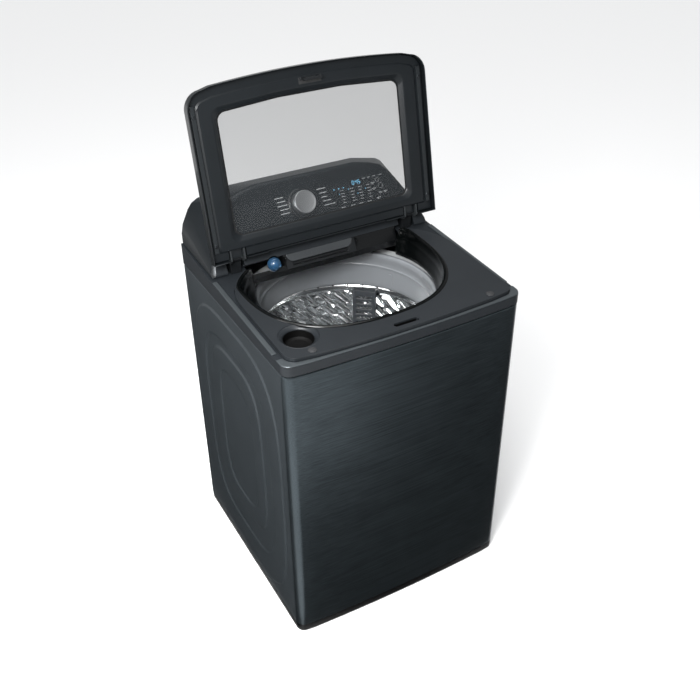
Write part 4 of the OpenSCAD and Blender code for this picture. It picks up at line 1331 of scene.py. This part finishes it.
    def words(self, x: float, s: float, lengths: Sequence[float], height: float, leftward: bool = False
    ) -> list[tuple[float, float, float, float]]:
        """A made-up line of print as a row of short bars.

        Args:
            x: Where the line starts.
            s: Its middle, up the face.
            lengths: Length of each bar.
            height: Height of the bars.
            leftward: Whether the line grows to the left.

        Returns:
            The bars' boxes.
        """
        boxes = []
        for length in lengths:
            x0 = x - length if leftward else x
            boxes.append((x0, s - height / 2, x0 + length, s + height / 2))
            x = x0 - 1.3 if leftward else x0 + length + 1.3
        return boxes

    def legends(self) -> None:
        """Prints the programme lines round the dial, the option keys and the time display."""
        ink = []
        left = [(-106, 157, (9, 14)), (-101, 146, (16, 7)), (-98, 135, (11, 17)), (-97, 124, (13, 11)),
            (-98, 113, (7, 18))]
        right = [(53, 157, (13, 12)), (58, 145, (8, 13)), (61, 133, (18,)), (63, 122, (10, 14)),
            (63, 110, (16, 9, 7))]
        for x, s, lengths in left:
            ink += self.words(x + 22, s, lengths, 2.0, leftward=True)
        for x, s, lengths in right:
            ink += self.words(x - 33, s, lengths, 2.0)
        for column, x in enumerate((84, 115, 141, 168)):
            for row in range(5):
                ink += self.words(x + 5, 138 - row * 8.5, (3.5 + (row + column) % 3 * 2, 4), 1.3)
            ink += self.words(x - 4, 92, (6, 5), 1.5)
        for x in (165, 181, 199, 220):
            ink += self.words(x, 158, (9,), 1.2)
        for x, s in ((188, 140), (188, 124), (206, 110), (222, 110), (196, 96)):
            ink += self.words(x, s, (7, 4), 1.5)
            ink += self.words(x + 2, s - 3.4, (6,), 1.2)
        self.marks("console_print", LEGEND_INK_GLOW, ink)
        lamps = [(x - 1.3, 143.7, x + 1.3, 146.3) for x in (71, 86, 101)] + [(-57, 147.6, -53.4, 151.2)]
        for x, rows in ((84, (1,)), (115, (0,)), (141, (2,)), (168, (1,))):
            lamps += [(x - 1, 137 - row * 8.5, x + 1, 139 - row * 8.5) for row in rows]
        self.marks("indicator_lamps", CYAN_LED, lamps)
        segments = {"0": "abcdef", "4": "fgbc", "5": "afgcd"}
        bars = {
            "a": (0.6, 10.4, 4.4, 11.4), "b": (4.4, 6.2, 5.4, 10.4), "c": (4.4, 1.0, 5.4, 5.2),
            "d": (0.6, 0, 4.4, 1.0), "e": (-0.4, 1.0, 0.6, 5.2), "f": (-0.4, 6.2, 0.6, 10.4),
            "g": (0.6, 5.2, 4.4, 6.2),
        }
        shown = [(139.0, 149.6, 140.2, 150.8), (139.0, 153.6, 140.2, 154.8)]
        for x, digit in ((131, "0"), (142.5, "4"), (150.5, "5")):
            for name in segments[digit]:
                x0, s0, x1, s1 = bars[name]
                shown.append((x + x0, 146.5 + s0, x + x1, 146.5 + s1))
        self.marks("time_digits", CYAN_LED, shown)
        keys = Mould()
        for x, s, r in ((211, 146, 6.2), (217, 128, 7.5)):
            keys.lathe([(r - 0.5, -0.1), (r, -0.1), (r, 0.18), (r - 0.5, 0.18)], 40,
                FACE @ Matrix.Translation((x, s, 0)))
        self.made.append(keys.cast("key_rings", "cabinet", "charcoal_deck", LEGEND_INK_GLOW, weighted=False))

    def build(self) -> list[bpy.types.Object]:
        """Builds every piece of the console."""
        self.hood()
        self.dial()
        self.legends()
        return self.made


@dataclass
class Dispenser:
    """Detergent drawer, its gloss housing and the water jet's lens under the console.

    Attributes:
        jet: Place of the jet lens in the deck's frame.
        radius: Radius of the lens.
    """

    frame: dict[str, Any]
    jet: tuple[float, float, float] = (-158.0, 96.0, -12.0)
    radius: float = 19.0
    made: list[bpy.types.Object] = field(default_factory=list)

    def drawer(self) -> None:
        """Rounds the housing, the drawer and the bright strip let into its face."""
        rows = [
            ("drawer_housing", "dispenser_housing", "black_gloss", HOUSING_ABS, 0.8),
            ("detergent_drawer", "drawer_tray", "black_gloss", LATCH_PA, 0.8),
            ("drawer_front", "drawer_strip", "spun_aluminium", STRIP_CHROME, 0.7),
        ]
        for node, name, slot, finish, radius in rows:
            self.made.append(eased(self.frame, node, name, finish, radius))
        lips = Mould()
        lips.block((-104, 89.4, -27.4), (69, 93.2, -25.6), 0.5, DECK)
        self.made.append(lips.cast("drawer_pull_lip", "drawer", "spun_aluminium", STRIP_CHROME))

    def lens(self) -> None:
        """Moulds the translucent lens with the nozzle inside it."""
        spot = DECK @ Matrix.Translation(self.jet)
        lens = Mould()
        bmesh.ops.create_uvsphere(lens.bm, u_segments=48, v_segments=28, radius=self.radius - 0.2, matrix=spot)
        self.made.append(lens.cast("jet_lens", "jet_button", "blue_lens", JET_ACRYLIC, ["jet_button"],
            smooth=60, weighted=False))
        aim = spot @ Matrix.Rotation(math.radians(58), 4, "X")
        nozzle = Mould()
        nozzle.lathe([(0, 15.4), (4.6, 15.2), (8.6, 12.4), (10.2, 8.0), (9.0, 3), (0, 2)], 40, aim, closed=False)
        self.made.append(nozzle.cast("jet_nozzle", "jet_button", "blue_lens", JET_CORE, smooth=50))

    def build(self) -> list[bpy.types.Object]:
        """Builds every piece of the dispenser."""
        self.drawer()
        self.lens()
        return self.made


@dataclass
class Lid:
    """Lift-up lid: brushed skin, moulded liner, glass, gasket, strike, arms and screws.

    Attributes:
        half: Half its width.
        length: Hinge edge to front edge.
        bow: How far the middle of the front edge stands out.
        corner: Radius of the front corners.
        depth: Thickness from rim to skin; not used.
        pane: Half width, lower and upper edge of the window, and its corner radius.
    """

    frame: dict[str, Any]
    half: float = 338.5
    length: float = 450.0
    bow: float = 20.0
    corner: float = 48.0
    depth: float = 31.0
    pane: tuple[float, float, float, float] = (262.0, 56.0, 383.0, 22.0)
    made: list[bpy.types.Object] = field(default_factory=list)

    def plan(self, inset: float) -> Outline:
        """The lid's outline, inset.

        Args:
            inset: How far inside its edge.

        Returns:
            The closed outline.
        """
        start = self.half - self.corner
        corner = arc(start, self.length - self.bow - self.corner + 1, self.corner - inset, 0, 84, 12)
        front = [(x, self.length - self.bow * (x / self.half) ** 2 - inset)
            for x in (start - 20 - 30 * i for i in range(9))] + [(0.0, self.length - inset)]
        side = [(self.half - inset, inset - 2 + 24 * i) for i in range(1, 16)]
        half = [(0.0, inset - 2), (self.half - inset, inset - 2)] + side + corner + front
        return both_halves(half)

    def window(self, grow: float) -> Outline:
        """The window's outline, grown.

        Args:
            grow: How far outside its edge.

        Returns:
            The closed outline.
        """
        wide, low, high, r = self.pane
        half = (
            arc(wide - r + grow, low + r - grow, r, -90, 0, 8)
            + arc(wide - r + grow, high - 10 - r + grow, r, 0, 86, 8)
            + arc(90, high - r + grow, r, 87, 90, 1)
        )
        return both_halves([(0.0, low - grow)] + half + [(0.0, high + grow)])

    def pockets(self, low: float, high: float) -> list[Mould]:
        """The cut-outs for the two hinges.

        Args:
            low: Lower end of the cut across the lid's thickness.
            high: Upper end.

        Returns:
            Two cutters.
        """
        made = []
        for side in (-1, 1):
            cutter = Mould()
            cutter.block((side * 266 - 25, -12, low), (side * 266 + 25, 25, high), frame=LID)
            made.append(cutter)
        return made

    def shell(
        self, name: str, rows: Sequence[tuple[float, float]], panes: Sequence[tuple[float, float]],
        wall: float, cutters: list[Mould], slot: str, finish: Finish, node: str,
    ) -> None:
        """Draws a panel over a rim and in to the window, gives it a wall and cuts it.

        Args:
            name: Name of the piece.
            rows: Inset and height of each line from the rim inwards.
            panes: Growth and height of each line from the flat into the window.
            wall: Thickness, grown away from the face that shows.
            cutters: Shapes to take out.
            slot: Material slot.
            finish: Its material.
            node: CAD node that it stands for.
        """
        mould = Mould()
        outer = [mould.loop([(x, s, n) for x, s in self.plan(inset)]) for inset, n in rows]
        inner = [mould.loop([(x, s, n) for x, s in self.window(grow)]) for grow, n in panes]
        for loops in (outer, inner):
            for low, high in zip(loops, loops[1:]):
                bmesh.ops.bridge_loops(mould.bm, edges=low + high)
        mould.fill([outer[-1], inner[0]])
        bmesh.ops.recalc_face_normals(mould.bm, faces=mould.bm.faces)
        widest = max(mould.bm.faces, key=lambda f: f.calc_area())
        if (widest.normal.z > 0) != (rows[-1][1] > rows[0][1]):
            bmesh.ops.reverse_faces(mould.bm, faces=mould.bm.faces)
        mould.place(LID)
        piece = mould.cast(name, "lid", slot, finish, [node], weighted=False, outward=False)
        skin = piece.modifiers.new("wall", "SOLIDIFY")
        skin.thickness = wall * MM
        skin.offset = -1
        carve(piece, cutters)
        piece.data.shade_smooth()
        piece.data.set_sharp_from_angle(angle=math.radians(32))
        shade = piece.modifiers.new("even shading", "WEIGHTED_NORMAL")
        shade.keep_sharp = True
        self.made.append(piece)

    def panels(self) -> None:
        """Makes the outer skin and the liner."""
        skirt = Mould()
        skirt.block((-182, -12, -17), (182, 6, 14), frame=LID)
        step = Mould()
        step.block((-245, -12, -9.5), (245, 6, 14), frame=LID)
        self.shell("lid_skin_panel",
            [(0.5, 0.0), (0.0, -0.9), (0.0, -24.0), (0.9, -27.6), (2.8, -30.0), (6.0, -31.0)],
            [(1.0, -31.0), (0.3, -30.8), (0.0, -30.2)], 2.6, self.pockets(-28, 1) + [skirt, step],
            "lid_skin", LID_STEEL, "lid_frame")
        self.shell("lid_liner_panel",
            [(3.6, -20.5), (3.8, -18.0), (5.0, -17.1), (7.0, -17.0), (24.5, -17.0), (26.0, -16.4), (28.5, -14.4), (30.5, -14.0)],
            [(16.0, -14.0), (13.0, -14.3), (10.5, -15.4), (4.0, -19.8), (1.8, -21.0), (0.6, -22.4), (0.0, -23.2)],
            2.2, self.pockets(-32, 1), "lid_liner", LINER_ABS_AND_SHADE, "lid_liner")

    def trims(self) -> None:
        """Makes the side strips with their screw caps."""
        strips = Mould()
        for side in (-1, 1):
            x = side * 322.5
            strips.block((x - 5.8, 26, -17.2), (x + 5.8, 396, -11.2), 1.6, LID)
        self.made.append(strips.cast("lid_side_strips", "lid", "lid_liner", STRIP_ABS))
        caps = Mould()
        for side in (-1, 1):
            for s in (45, 370):
                caps.lathe([(0, -9.5), (2.6, -9.5), (4.2, -9.9), (4.9, -10.8), (4.9, -11.6), (0, -11.6)], 28,
                    LID @ Matrix.Translation((side * 322.5, s, 0)), closed=False)
                caps.block((-3, -0.5, -9.8), (3, 0.5, -9.3), 0.1, LID @ Matrix.Translation((side * 322.5, s, 0)))
        self.made.append(caps.cast("lid_screw_caps", "lid", "lid_liner", PLATED_DARK, ["lid_screws"]))

    def glass(self) -> None:
        """Cuts the pane with ground edges and lays its gasket."""
        pane = Mould()
        pane.plate([self.window(9.5)], -27.8, -24.0, 0.7, 2, LID)
        self.made.append(pane.cast("lid_window_glass", "lid", "tinted_glass", LID_GLASS, ["lid_glass"]))
        # A thin black band laid on the glass round the window's edge.
        black_band = Mould()
        black_band.plate([self.window(1.2), self.window(-3.6)], -23.9, -23.6, 0.0, 2, LID)
        self.made.append(black_band.cast("window_black_border", "lid", "tinted_glass", HOUSING_ABS))
        seal = Mould()
        seal.plate([self.window(9.6), self.window(1.6)], -23.5, -23.1, 0.0, 2, LID)
        self.made.append(seal.cast("window_seal", "lid", "foot_rubber", GASKET_AND_SHADE_BLACK, ["glass_gasket"]))

    def hardware(self) -> None:
        """Rounds the strike and the hinge arms."""
        rows = [("lid_strike", "lid_strike_hook", "lid_liner", LATCH_PA, 0.8),
            ("lid_hinge_arms", "hinge_arm_set", "zinc_steel", ARM_STEEL, 0.6)]
        for node, name, slot, finish, radius in rows:
            self.made.append(eased(self.frame, node, name, finish, radius))
        # A black plate on the liner paints the shade of the strike's recess.
        recess = Mould()
        recess.block((-33, 402, -17.2), (33, 420, -13.7), 1.4, LID)
        self.made.append(recess.cast("strike_recess_shade", "lid", "lid_liner", GASKET_AND_SHADE_BLACK))

    def build(self) -> list[bpy.types.Object]:
        """Builds every piece of the lid."""
        self.panels()
        self.trims()
        self.glass()
        self.hardware()
        return self.made


@dataclass
class Basket:
    """What turns or hangs inside: embossed drum, balance ring, lint filter, pulsator.

    Attributes:
        radius: Inner radius of the drum.
        floor: Height of the drum's floor.
        top: Height of the drum's upper edge.
        rows: Rows of embossed cells up the wall.
        cells: Pairs of embossed cells round the wall.
        slant: How many cells one row is turned past the one below.
    """

    frame: dict[str, Any]
    radius: float = 262.0
    floor: float = 231.0
    top: float = 753.6
    rows: int = 12
    cells: int = 30
    slant: float = 1.2
    made: list[bpy.types.Object] = field(default_factory=list)

    def drum(self) -> None:
        """Presses the drum wall into slanting scoops, pierces it and adds the plain rim."""
        dice = random.Random(11)
        wall = Mould()
        rise = (self.top - 34 - self.floor) / self.rows
        edges = wall.loop([(x, y, self.floor) for x, y in ring_of(self.radius, self.cells * 2)])
        for _ in range(self.rows):
            grown = bmesh.ops.extrude_edge_only(wall.bm, edges=edges)["geom"]
            verts = [g for g in grown if isinstance(g, bmesh.types.BMVert)]
            edges = [g for g in grown if isinstance(g, bmesh.types.BMEdge)
                and all(v in verts for v in g.verts)]
            turn = Matrix.Rotation(math.pi / self.cells * self.slant, 4, "Z")
            bmesh.ops.transform(wall.bm, matrix=Matrix.Translation((0, 0, rise)) @ turn, verts=verts)
        step = math.pi / self.cells

        def cell(face: bmesh.types.BMFace) -> tuple[int, int]:
            """Row and column of a face, whatever order the faces were made in.

            Args:
                face: Face of the wall.

            Returns:
                Its row from the bottom and its column.
            """
            middle = face.calc_center_median()
            row = int((middle.z - self.floor) / rise)
            angle = math.atan2(middle.y, middle.x) - step * self.slant * (row + 0.5)
            return row, math.floor(angle / step) % (2 * self.cells)

        faces = sorted(wall.bm.faces, key=cell)
        # Every second cell is a scoop: a raised rib on one side, a pierced hollow on the other.
        ribs = [f for i, f in enumerate(faces) if (i + i // (self.cells * 2)) % 2 == 0]
        hollows = [f for i, f in enumerate(faces) if (i + i // (self.cells * 2)) % 2 == 1]
        for group, lift in ((ribs, -8.5), (hollows, 3.2)):
            bmesh.ops.inset_individual(wall.bm, faces=group, thickness=4.2, depth=0.0,
                use_even_offset=True)
            for face in group:
                middle = face.calc_center_median()
                out = Vector((middle.x, middle.y, 0)).normalized()
                shift = out * (lift + dice.uniform(-0.8, 0.8))
                for vert in face.verts:
                    vert.co += shift
        bmesh.ops.poke(wall.bm, faces=ribs, offset=0.0, center_mode="MEAN")
        bmesh.ops.inset_individual(wall.bm, faces=hollows, thickness=7.0, depth=0.0)
        bmesh.ops.delete(wall.bm, geom=[f for f in hollows if f.is_valid], context="FACES_ONLY")
        top_rows = [(self.radius, self.top - 34), (self.radius - 3.4, self.top - 30),
            (self.radius - 3.4, self.top - 24), (self.radius, self.top - 20), (self.radius, self.top - 8)]
        loops = [wall.loop([(x, y, z) for x, y in ring_of(r, self.cells * 2)]) for r, z in top_rows]
        bmesh.ops.rotate(wall.bm, cent=(0, 0, 0),
            matrix=Matrix.Rotation(math.pi / self.cells * self.slant * self.rows, 3, "Z"),
            verts=list({v for run in loops for e in run for v in e.verts}))
        for low, high in zip(loops, loops[1:]):
            bmesh.ops.bridge_loops(wall.bm, edges=low + high)
        bmesh.ops.remove_doubles(wall.bm, verts=wall.bm.verts, dist=0.05)
        wall.place(Matrix.Translation((0, DRUM_Y, 0)))
        bmesh.ops.recalc_face_normals(wall.bm, faces=wall.bm.faces)
        probe = max(wall.bm.faces, key=lambda f: f.calc_center_median().x)
        if probe.normal.x > 0:
            bmesh.ops.reverse_faces(wall.bm, faces=wall.bm.faces)
        piece = wall.cast("drum_wall", "drum", "drum_steel", DRUM_STEEL, ["drum_basket"],
            smooth=62, weighted=False, outward=False)
        sheet = piece.modifiers.new("sheet", "SOLIDIFY")
        sheet.thickness = 0.7 * MM
        sheet.offset = -1
        self.made.append(piece)
        rim = Mould()
        rim.lathe([(self.radius - 0.6, self.top - 9), (self.radius - 2.6, self.top - 6), (self.radius - 2.6, self.top - 1.2),
            (self.radius + 1.8, self.top), (self.radius + 1.8, self.top - 9)], 96,
            Matrix.Translation((0, DRUM_Y, 0)))
        self.made.append(rim.cast("drum_rolled_rim", "drum", "drum_steel", DRUM_STEEL))
        base = Mould()
        profile = [(58, 0), (62, 2.4), (186, 2.4), (196, 7), (206, 2.4), (246, 3.5), (257, 9), (261.4, 20), (263, 20), (259, 6),
            (248, 1), (62, 0)]
        base.lathe([(r, self.floor + z) for r, z in profile], 96, Matrix.Translation((0, DRUM_Y, 0)))
        self.made.append(base.cast("drum_floor", "drum", "drum_steel", DRUM_STEEL))
        # Black discs on the rim paint the shade seen through its holes; the steel is not pierced there.
        dots = Mould()
        for i in range(36):
            turn = math.radians(i * 10)
            spot = Matrix.Translation((0, DRUM_Y, self.top - 14)) @ Matrix.Rotation(turn, 4, "Z")
            side = spot @ Matrix.Translation((self.radius - 0.2, 0, 0)) @ Matrix.Rotation(math.radians(-90), 4, "Y")
            dots.lathe([(0, -0.6), (3.2, -0.6), (3.2, 0.2), (2.7, 0.5), (0, 0.1)], 12, side, closed=False)
        self.made.append(dots.cast("drum_rim_hole_shade", "drum", "drum_steel", GASKET_AND_SHADE_BLACK, weighted=False))

    def ring(self) -> None:
        """Moulds the balance ring: crown, inner wall with its bead, and outer skirt."""
        profile = [
            (241, 754.4), (265.6, 754.4), (269.4, 760), (269.6, 834), (266, 839.6), (256.4, 843), (254.8, 846),
            (254.8, 857), (253, 861.6), (249.6, 865), (246, 865.9), (243, 865.4), (240.4, 863), (238.6, 858.4),
            (238.3, 852), (239.6, 846), (240.6, 838), (240.9, 830), (239.9, 826.8), (238.4, 825.6), (238.2, 823.2),
            (239.4, 821.6), (239.6, 815), (238.9, 790), (238.5, 766), (239.0, 758.6),
        ]
        mould = Mould()
        mould.lathe(profile, 160, Matrix.Translation((0, DRUM_Y, 0)))
        self.made.append(mould.cast("balance_ring_moulding", "drum", "ring_plastic", RING_PP,
            ["balance_ring"], smooth=40))
        seam = Mould()
        for turn in (28, 148, 268):
            spot = Matrix.Translation((0, DRUM_Y, 0)) @ Matrix.Rotation(math.radians(turn), 4, "Z")
            seam.block((238.0, -5, 768), (240.4, 5, 808), 0.8, spot)
        self.made.append(seam.cast("balance_ring_clips", "drum", "ring_plastic", RING_PP))

    def filter(self) -> None:
        """Rounds the lint filter's case."""
        self.made.append(eased(self.frame, "lint_filter", "lint_filter_case",
            FILTER_PP, 1.5))

    def pulsator(self) -> None:
        """Moulds the pulsator: a dished disc raised into six swept vanes."""
        base = self.floor + 6
        profile = [(182, base), (184.6, base + 2), (184.8, base + 6), (183, base + 8.6)]
        profile += [(r, base + 12 + 30 * (1 - r / 185) ** 1.6) for r in range(178, 18, -4)]
        profile += [(12, base + 44), (0, base + 46), (0, base + 38), (40, base + 30), (176, base + 4), (176, base)]
        mould = Mould()
        mould.lathe(profile, 144, closed=False)
        for vert in mould.bm.verts:
            radius, turn = math.hypot(vert.co.x, vert.co.y), math.atan2(vert.co.y, vert.co.x)
            if 30 < radius < 180 and vert.co.z > base + 9:
                sweep = math.cos(6 * (turn - radius * 0.0035))
                fade = math.sin(math.pi * (radius - 30) / 150)
                vert.co.z += 15 * fade * max(0.0, sweep) ** 1.4
        mould.place(Matrix.Translation((0, DRUM_Y, 0)))
        self.made.append(mould.cast("pulsator_moulding", "wash_unit", "pulsator_plastic", PULSATOR_PP,
            ["pulsator"], smooth=50, weighted=False))
        cap = Mould()
        cap.lathe([(0, base + 49), (14, base + 48.6), (20, base + 46.6), (22, base + 43), (0, base + 42)], 48,
            Matrix.Translation((0, DRUM_Y, 0)), closed=False)
        self.made.append(cap.cast("pulsator_cap", "wash_unit", "pulsator_plastic", RING_PP))

    def build(self) -> list[bpy.types.Object]:
        """Builds every piece of the basket."""
        self.drum()
        self.ring()
        self.filter()
        self.pulsator()
        return self.made


@dataclass
class Works:
    """Everything behind the panels that keeps its CAD shape and gets its real finish."""

    frame: dict[str, Any]

    def finishes(self) -> dict[str, "Finish | ClearFinish"]:
        """The finish of every CAD node, shown or stood for."""
        return {
            "cabinet_wrapper": BLACK_STEEL, "rear_panel": ZINC, "base_frame": BASE_PP,
            "corner_braces": ZINC, "suspension_rods": PLATED, "suspension_springs": PLATED,
            "cabinet_screws": PLATED, "power_gland": BASE_PP, "foot_front_left": RUBBER,
            "foot_front_right": RUBBER, "foot_rear_left": RUBBER, "foot_rear_right": RUBBER,
            "top_cover": COVER_ABS, "trim_rails": RAIL_PAINT, "deck_panel": DECK_ABS,
            "hopper": GLOSS_ABS, "bleach_cup": DECK_ABS, "deck_bumpers": RUBBER,
            "lid_lock_housing": LATCH_PA, "lock_bolt": BOLT_POM, "hinge_brackets": LATCH_PA,
            "hinge_pins": PLATED, "console_shell": CONSOLE_PAINT, "console_fascia": CONSOLE_PAINT,
            "knob_ring": COLLAR_PAINT, "knob": KNOB_FACE, "knob_encoder": BOARD, "touch_board": BOARD,
            "control_box": WHITE_PP, "inlet_valve": WHITE_PP, "fill_ducts": WHITE_PP,
            "drawer_housing": HOUSING_ABS, "detergent_drawer": LATCH_PA, "drawer_front": STRIP_CHROME,
            "jet_button": JET_ACRYLIC, "lid_frame": LID_STEEL, "lid_liner": LINER_ABS_AND_SHADE,
            "lid_glass": LID_GLASS, "glass_gasket": GASKET_AND_SHADE_BLACK, "lid_strike": LATCH_PA,
            "lid_hinge_arms": ARM_STEEL, "lid_screws": PLATED_DARK, "outer_tub": TUB_PP,
            "tub_cover": TUB_PP, "bearing_housing": CAST_ALLOY, "tub_bearings": PLATED,
            "stator": COPPER, "sump_hose": HOSE_RUBBER, "drum_basket": DRUM_STEEL,
            "balance_ring": RING_PP, "drum_hub": CAST_ALLOY, "spin_shaft": PLATED,
            "lint_filter": FILTER_PP, "clutch_coupler": BOLT_POM, "pulsator": PULSATOR_PP,
            "wash_shaft": PLATED, "rotor": MOTOR_STEEL, "drain_pump": BASE_PP,
            "pump_impeller": WHITE_PP, "drain_hose": HOSE_RUBBER,
        }

    def flexing(self) -> list[bpy.types.Object]:
        """Copies the springs and the sump bellows in place; nothing makes their upper ends follow the tub."""
        rows = [
            ("suspension_springs", "rod_springs", "zinc_steel", PLATED),
            ("sump_hose", "sump_bellows", "hose_rubber", HOSE_RUBBER),
        ]
        made = []
        for node, name, slot, finish in rows:
            piece = twin(self.frame, node, name)
            piece.data.materials.append(finish.material())
            piece.data.shade_smooth()
            piece.data.set_sharp_from_angle(angle=math.radians(40))
            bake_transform(piece)
            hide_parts(node)
            made.append(piece)
        return made

    def dress(self) -> int:
        """Gives each CAD node its finish and smooth shading.

        Returns:
            How many nodes there are.
        """
        for node, finish in self.finishes().items():
            part = self.frame["nodes"][node]
            part.data.materials.clear()
            part.data.materials.append(finish.material())
            part.data.set_sharp_from_angle(angle=math.radians(30))
        return len(self.frame["nodes"])


# ---- Studio ----


class Studio:
    """Pale floor, soft lamps, pale surroundings and the camera."""

    def floor(self) -> None:
        """Lays a wide, plain, pale floor."""
        mould = Mould()
        bmesh.ops.create_grid(mould.bm, x_segments=2, y_segments=2, size=30000)
        bmesh.ops.scale(mould.bm, vec=(MM, MM, MM), verts=mould.bm.verts)
        mesh = bpy.data.meshes.new("studio_floor")
        mould.bm.to_mesh(mesh)
        mould.bm.free()
        made = bpy.data.objects.new("studio_floor", mesh)
        bpy.context.scene.collection.objects.link(made)
        paper = bpy.data.materials.new("white seamless paper")
        paper.use_nodes = True
        shader = paper.node_tree.nodes["Principled BSDF"]
        shader.inputs["Base Color"].default_value = (0.93, 0.93, 0.93, 1)
        shader.inputs["Roughness"].default_value = 0.9
        shader.inputs["Specular IOR Level"].default_value = 0.1
        mesh.materials.append(paper)

    def lamp(self, name: str, place: Point3, aim: Point3, size: Point, power: float) -> None:
        """Hangs one soft box.

        Args:
            name: Name of the lamp.
            place: Where it hangs, in metres.
            aim: What it points at.
            size: Its width and height.
            power: Its power in watts.
        """
        data = bpy.data.lights.new(name, "AREA")
        data.shape = "RECTANGLE"
        data.size, data.size_y = size
        data.energy = power
        made = bpy.data.objects.new(name, data)
        bpy.context.scene.collection.objects.link(made)
        look = (Vector(aim) - Vector(place)).to_track_quat("-Z", "Y")
        made.matrix_world = Matrix.Translation(place) @ look.to_matrix().to_4x4()

    def skylight(self, towards: Point3, strength: float) -> None:
        """Hangs one very wide far lamp, which keeps the whole floor white.

        Args:
            towards: Direction from the machine to it.
            strength: Its strength in watts a square metre.
        """
        data = bpy.data.lights.new("far diffuser", "SUN")
        data.energy = strength
        data.angle = math.radians(60)
        made = bpy.data.objects.new("far diffuser", data)
        bpy.context.scene.collection.objects.link(made)
        made.matrix_world = Vector(towards).to_track_quat("Z", "Y").to_matrix().to_4x4()

    def flag(self) -> None:
        """Lays black cards before and beside the machine that only its glossy faces see.

        As on a studio table, the steel mirrors them and darkens towards its foot and its right.
        """
        mould = Mould()
        front = [(-345, -352), (2000, -352), (2000, -2100), (800, -1900), (200, -1100), (-345, -1000)]
        left = [(-1500, -352), (-345, -352), (-345, 3000), (-1500, 3000)]
        for outline in (front, left):
            mould.fill([mould.loop([(x, y, 2) for x, y in outline])])
        bmesh.ops.scale(mould.bm, vec=(MM, MM, MM), verts=mould.bm.verts)
        mesh = bpy.data.meshes.new("studio_flag")
        mould.bm.to_mesh(mesh)
        mould.bm.free()
        card = bpy.data.objects.new("studio_flag", mesh)
        bpy.context.scene.collection.objects.link(card)
        felt = bpy.data.materials.new("black felt")
        felt.use_nodes = True
        shader = felt.node_tree.nodes["Principled BSDF"]
        shader.inputs["Base Color"].default_value = (0.01, 0.01, 0.01, 1)
        shader.inputs["Roughness"].default_value = 1.0
        shader.inputs["Specular IOR Level"].default_value = 0.0
        mesh.materials.append(felt)
        card.visible_camera = False
        card.visible_diffuse = False
        card.visible_shadow = False
        card.visible_transmission = False

    def surroundings(self, strength: float) -> None:
        """Sets an even pale world, seen as white paper behind the floor's far edge.

        Args:
            strength: Its brightness.
        """
        world = bpy.data.worlds.new("pale room")
        world.use_nodes = True
        tree = world.node_tree
        sky = tree.nodes["Background"]
        sky.inputs["Color"].default_value = (0.96, 0.98, 1.0, 1)
        sky.inputs["Strength"].default_value = strength
        paper = add_node(tree, "Background", inputs={"Color": (1, 1, 1, 1), "Strength": 0.94})
        seen = add_node(tree, "LightPath")
        mixed = add_node(tree, "MixShader", inputs={"Fac": seen.outputs["Is Camera Ray"],
            1: sky.outputs[0], 2: paper.outputs[0]})
        tree.links.new(mixed.outputs[0], tree.nodes["World Output"].inputs["Surface"])
        bpy.context.scene.world = world

    def camera(self) -> None:
        """Stands the camera at the front left, above the machine."""
        yaw, pitch, roll = (math.radians(a) for a in (29.13, 33.96, -0.61))
        forward = Vector((math.sin(yaw) * math.cos(pitch), math.cos(yaw) * math.cos(pitch), -math.sin(pitch)))
        level = Vector((math.cos(yaw), -math.sin(yaw), 0))
        above = level.cross(forward)
        right = math.cos(roll) * level + math.sin(roll) * above
        up = math.cos(roll) * above - math.sin(roll) * level
        data = bpy.data.cameras.new("studio camera")
        data.lens = 45.7
        data.sensor_width = 36.0
        data.dof.use_dof = False
        made = bpy.data.objects.new("studio camera", data)
        bpy.context.scene.collection.objects.link(made)
        turned = Matrix((right, up, -forward)).transposed().to_4x4()
        made.matrix_world = Matrix.Translation((-1.01456, -1.85608, 2.09062)) @ turned
        bpy.context.scene.camera = made

    def build(self) -> None:
        """Sets up the whole studio."""
        self.floor()
        self.lamp("key soft box", (-1.7, -1.6, 2.3), (-0.1, -0.3, 0.8), (1.4, 1.4), 45)
        self.lamp("top soft box", (0.0, 0.2, 3.0), (0, 0, 0.8), (1.6, 1.2), 24)
        self.lamp("near soft box", (-1.0, -1.1, 2.0), (-0.2, -0.2, 0.9), (0.5, 0.5), 48)
        self.lamp("left strip", (-2.2, -0.3, 1.3), (-0.34, -0.1, 0.6), (0.5, 2.0), 20)
        self.skylight((-0.45, -0.5, 1.0), 2.4)
        self.surroundings(0.28)
        self.flag()
        self.camera()
        bpy.context.scene.view_settings.view_transform = "Standard"


def main() -> None:
    """Builds the machine, assembly by assembly, and the studio round it."""
    logging.basicConfig(level=logging.INFO, format="%(message)s")
    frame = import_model()
    works = Works(frame)
    LOG.info("%d CAD nodes finished", works.dress())
    for piece in works.flexing():
        LOG.info("Works: %s, %d faces", piece.name, len(piece.data.polygons))
    for assembly in (Cabinet(frame), Deck(frame), Console(frame), Dispenser(frame), Lid(frame), Basket(frame)):
        for piece in assembly.build():
            LOG.info("%s: %s, %d faces", type(assembly).__name__, piece.name, len(piece.data.polygons))
    Studio().build()


if __name__ == "__main__":
    main()
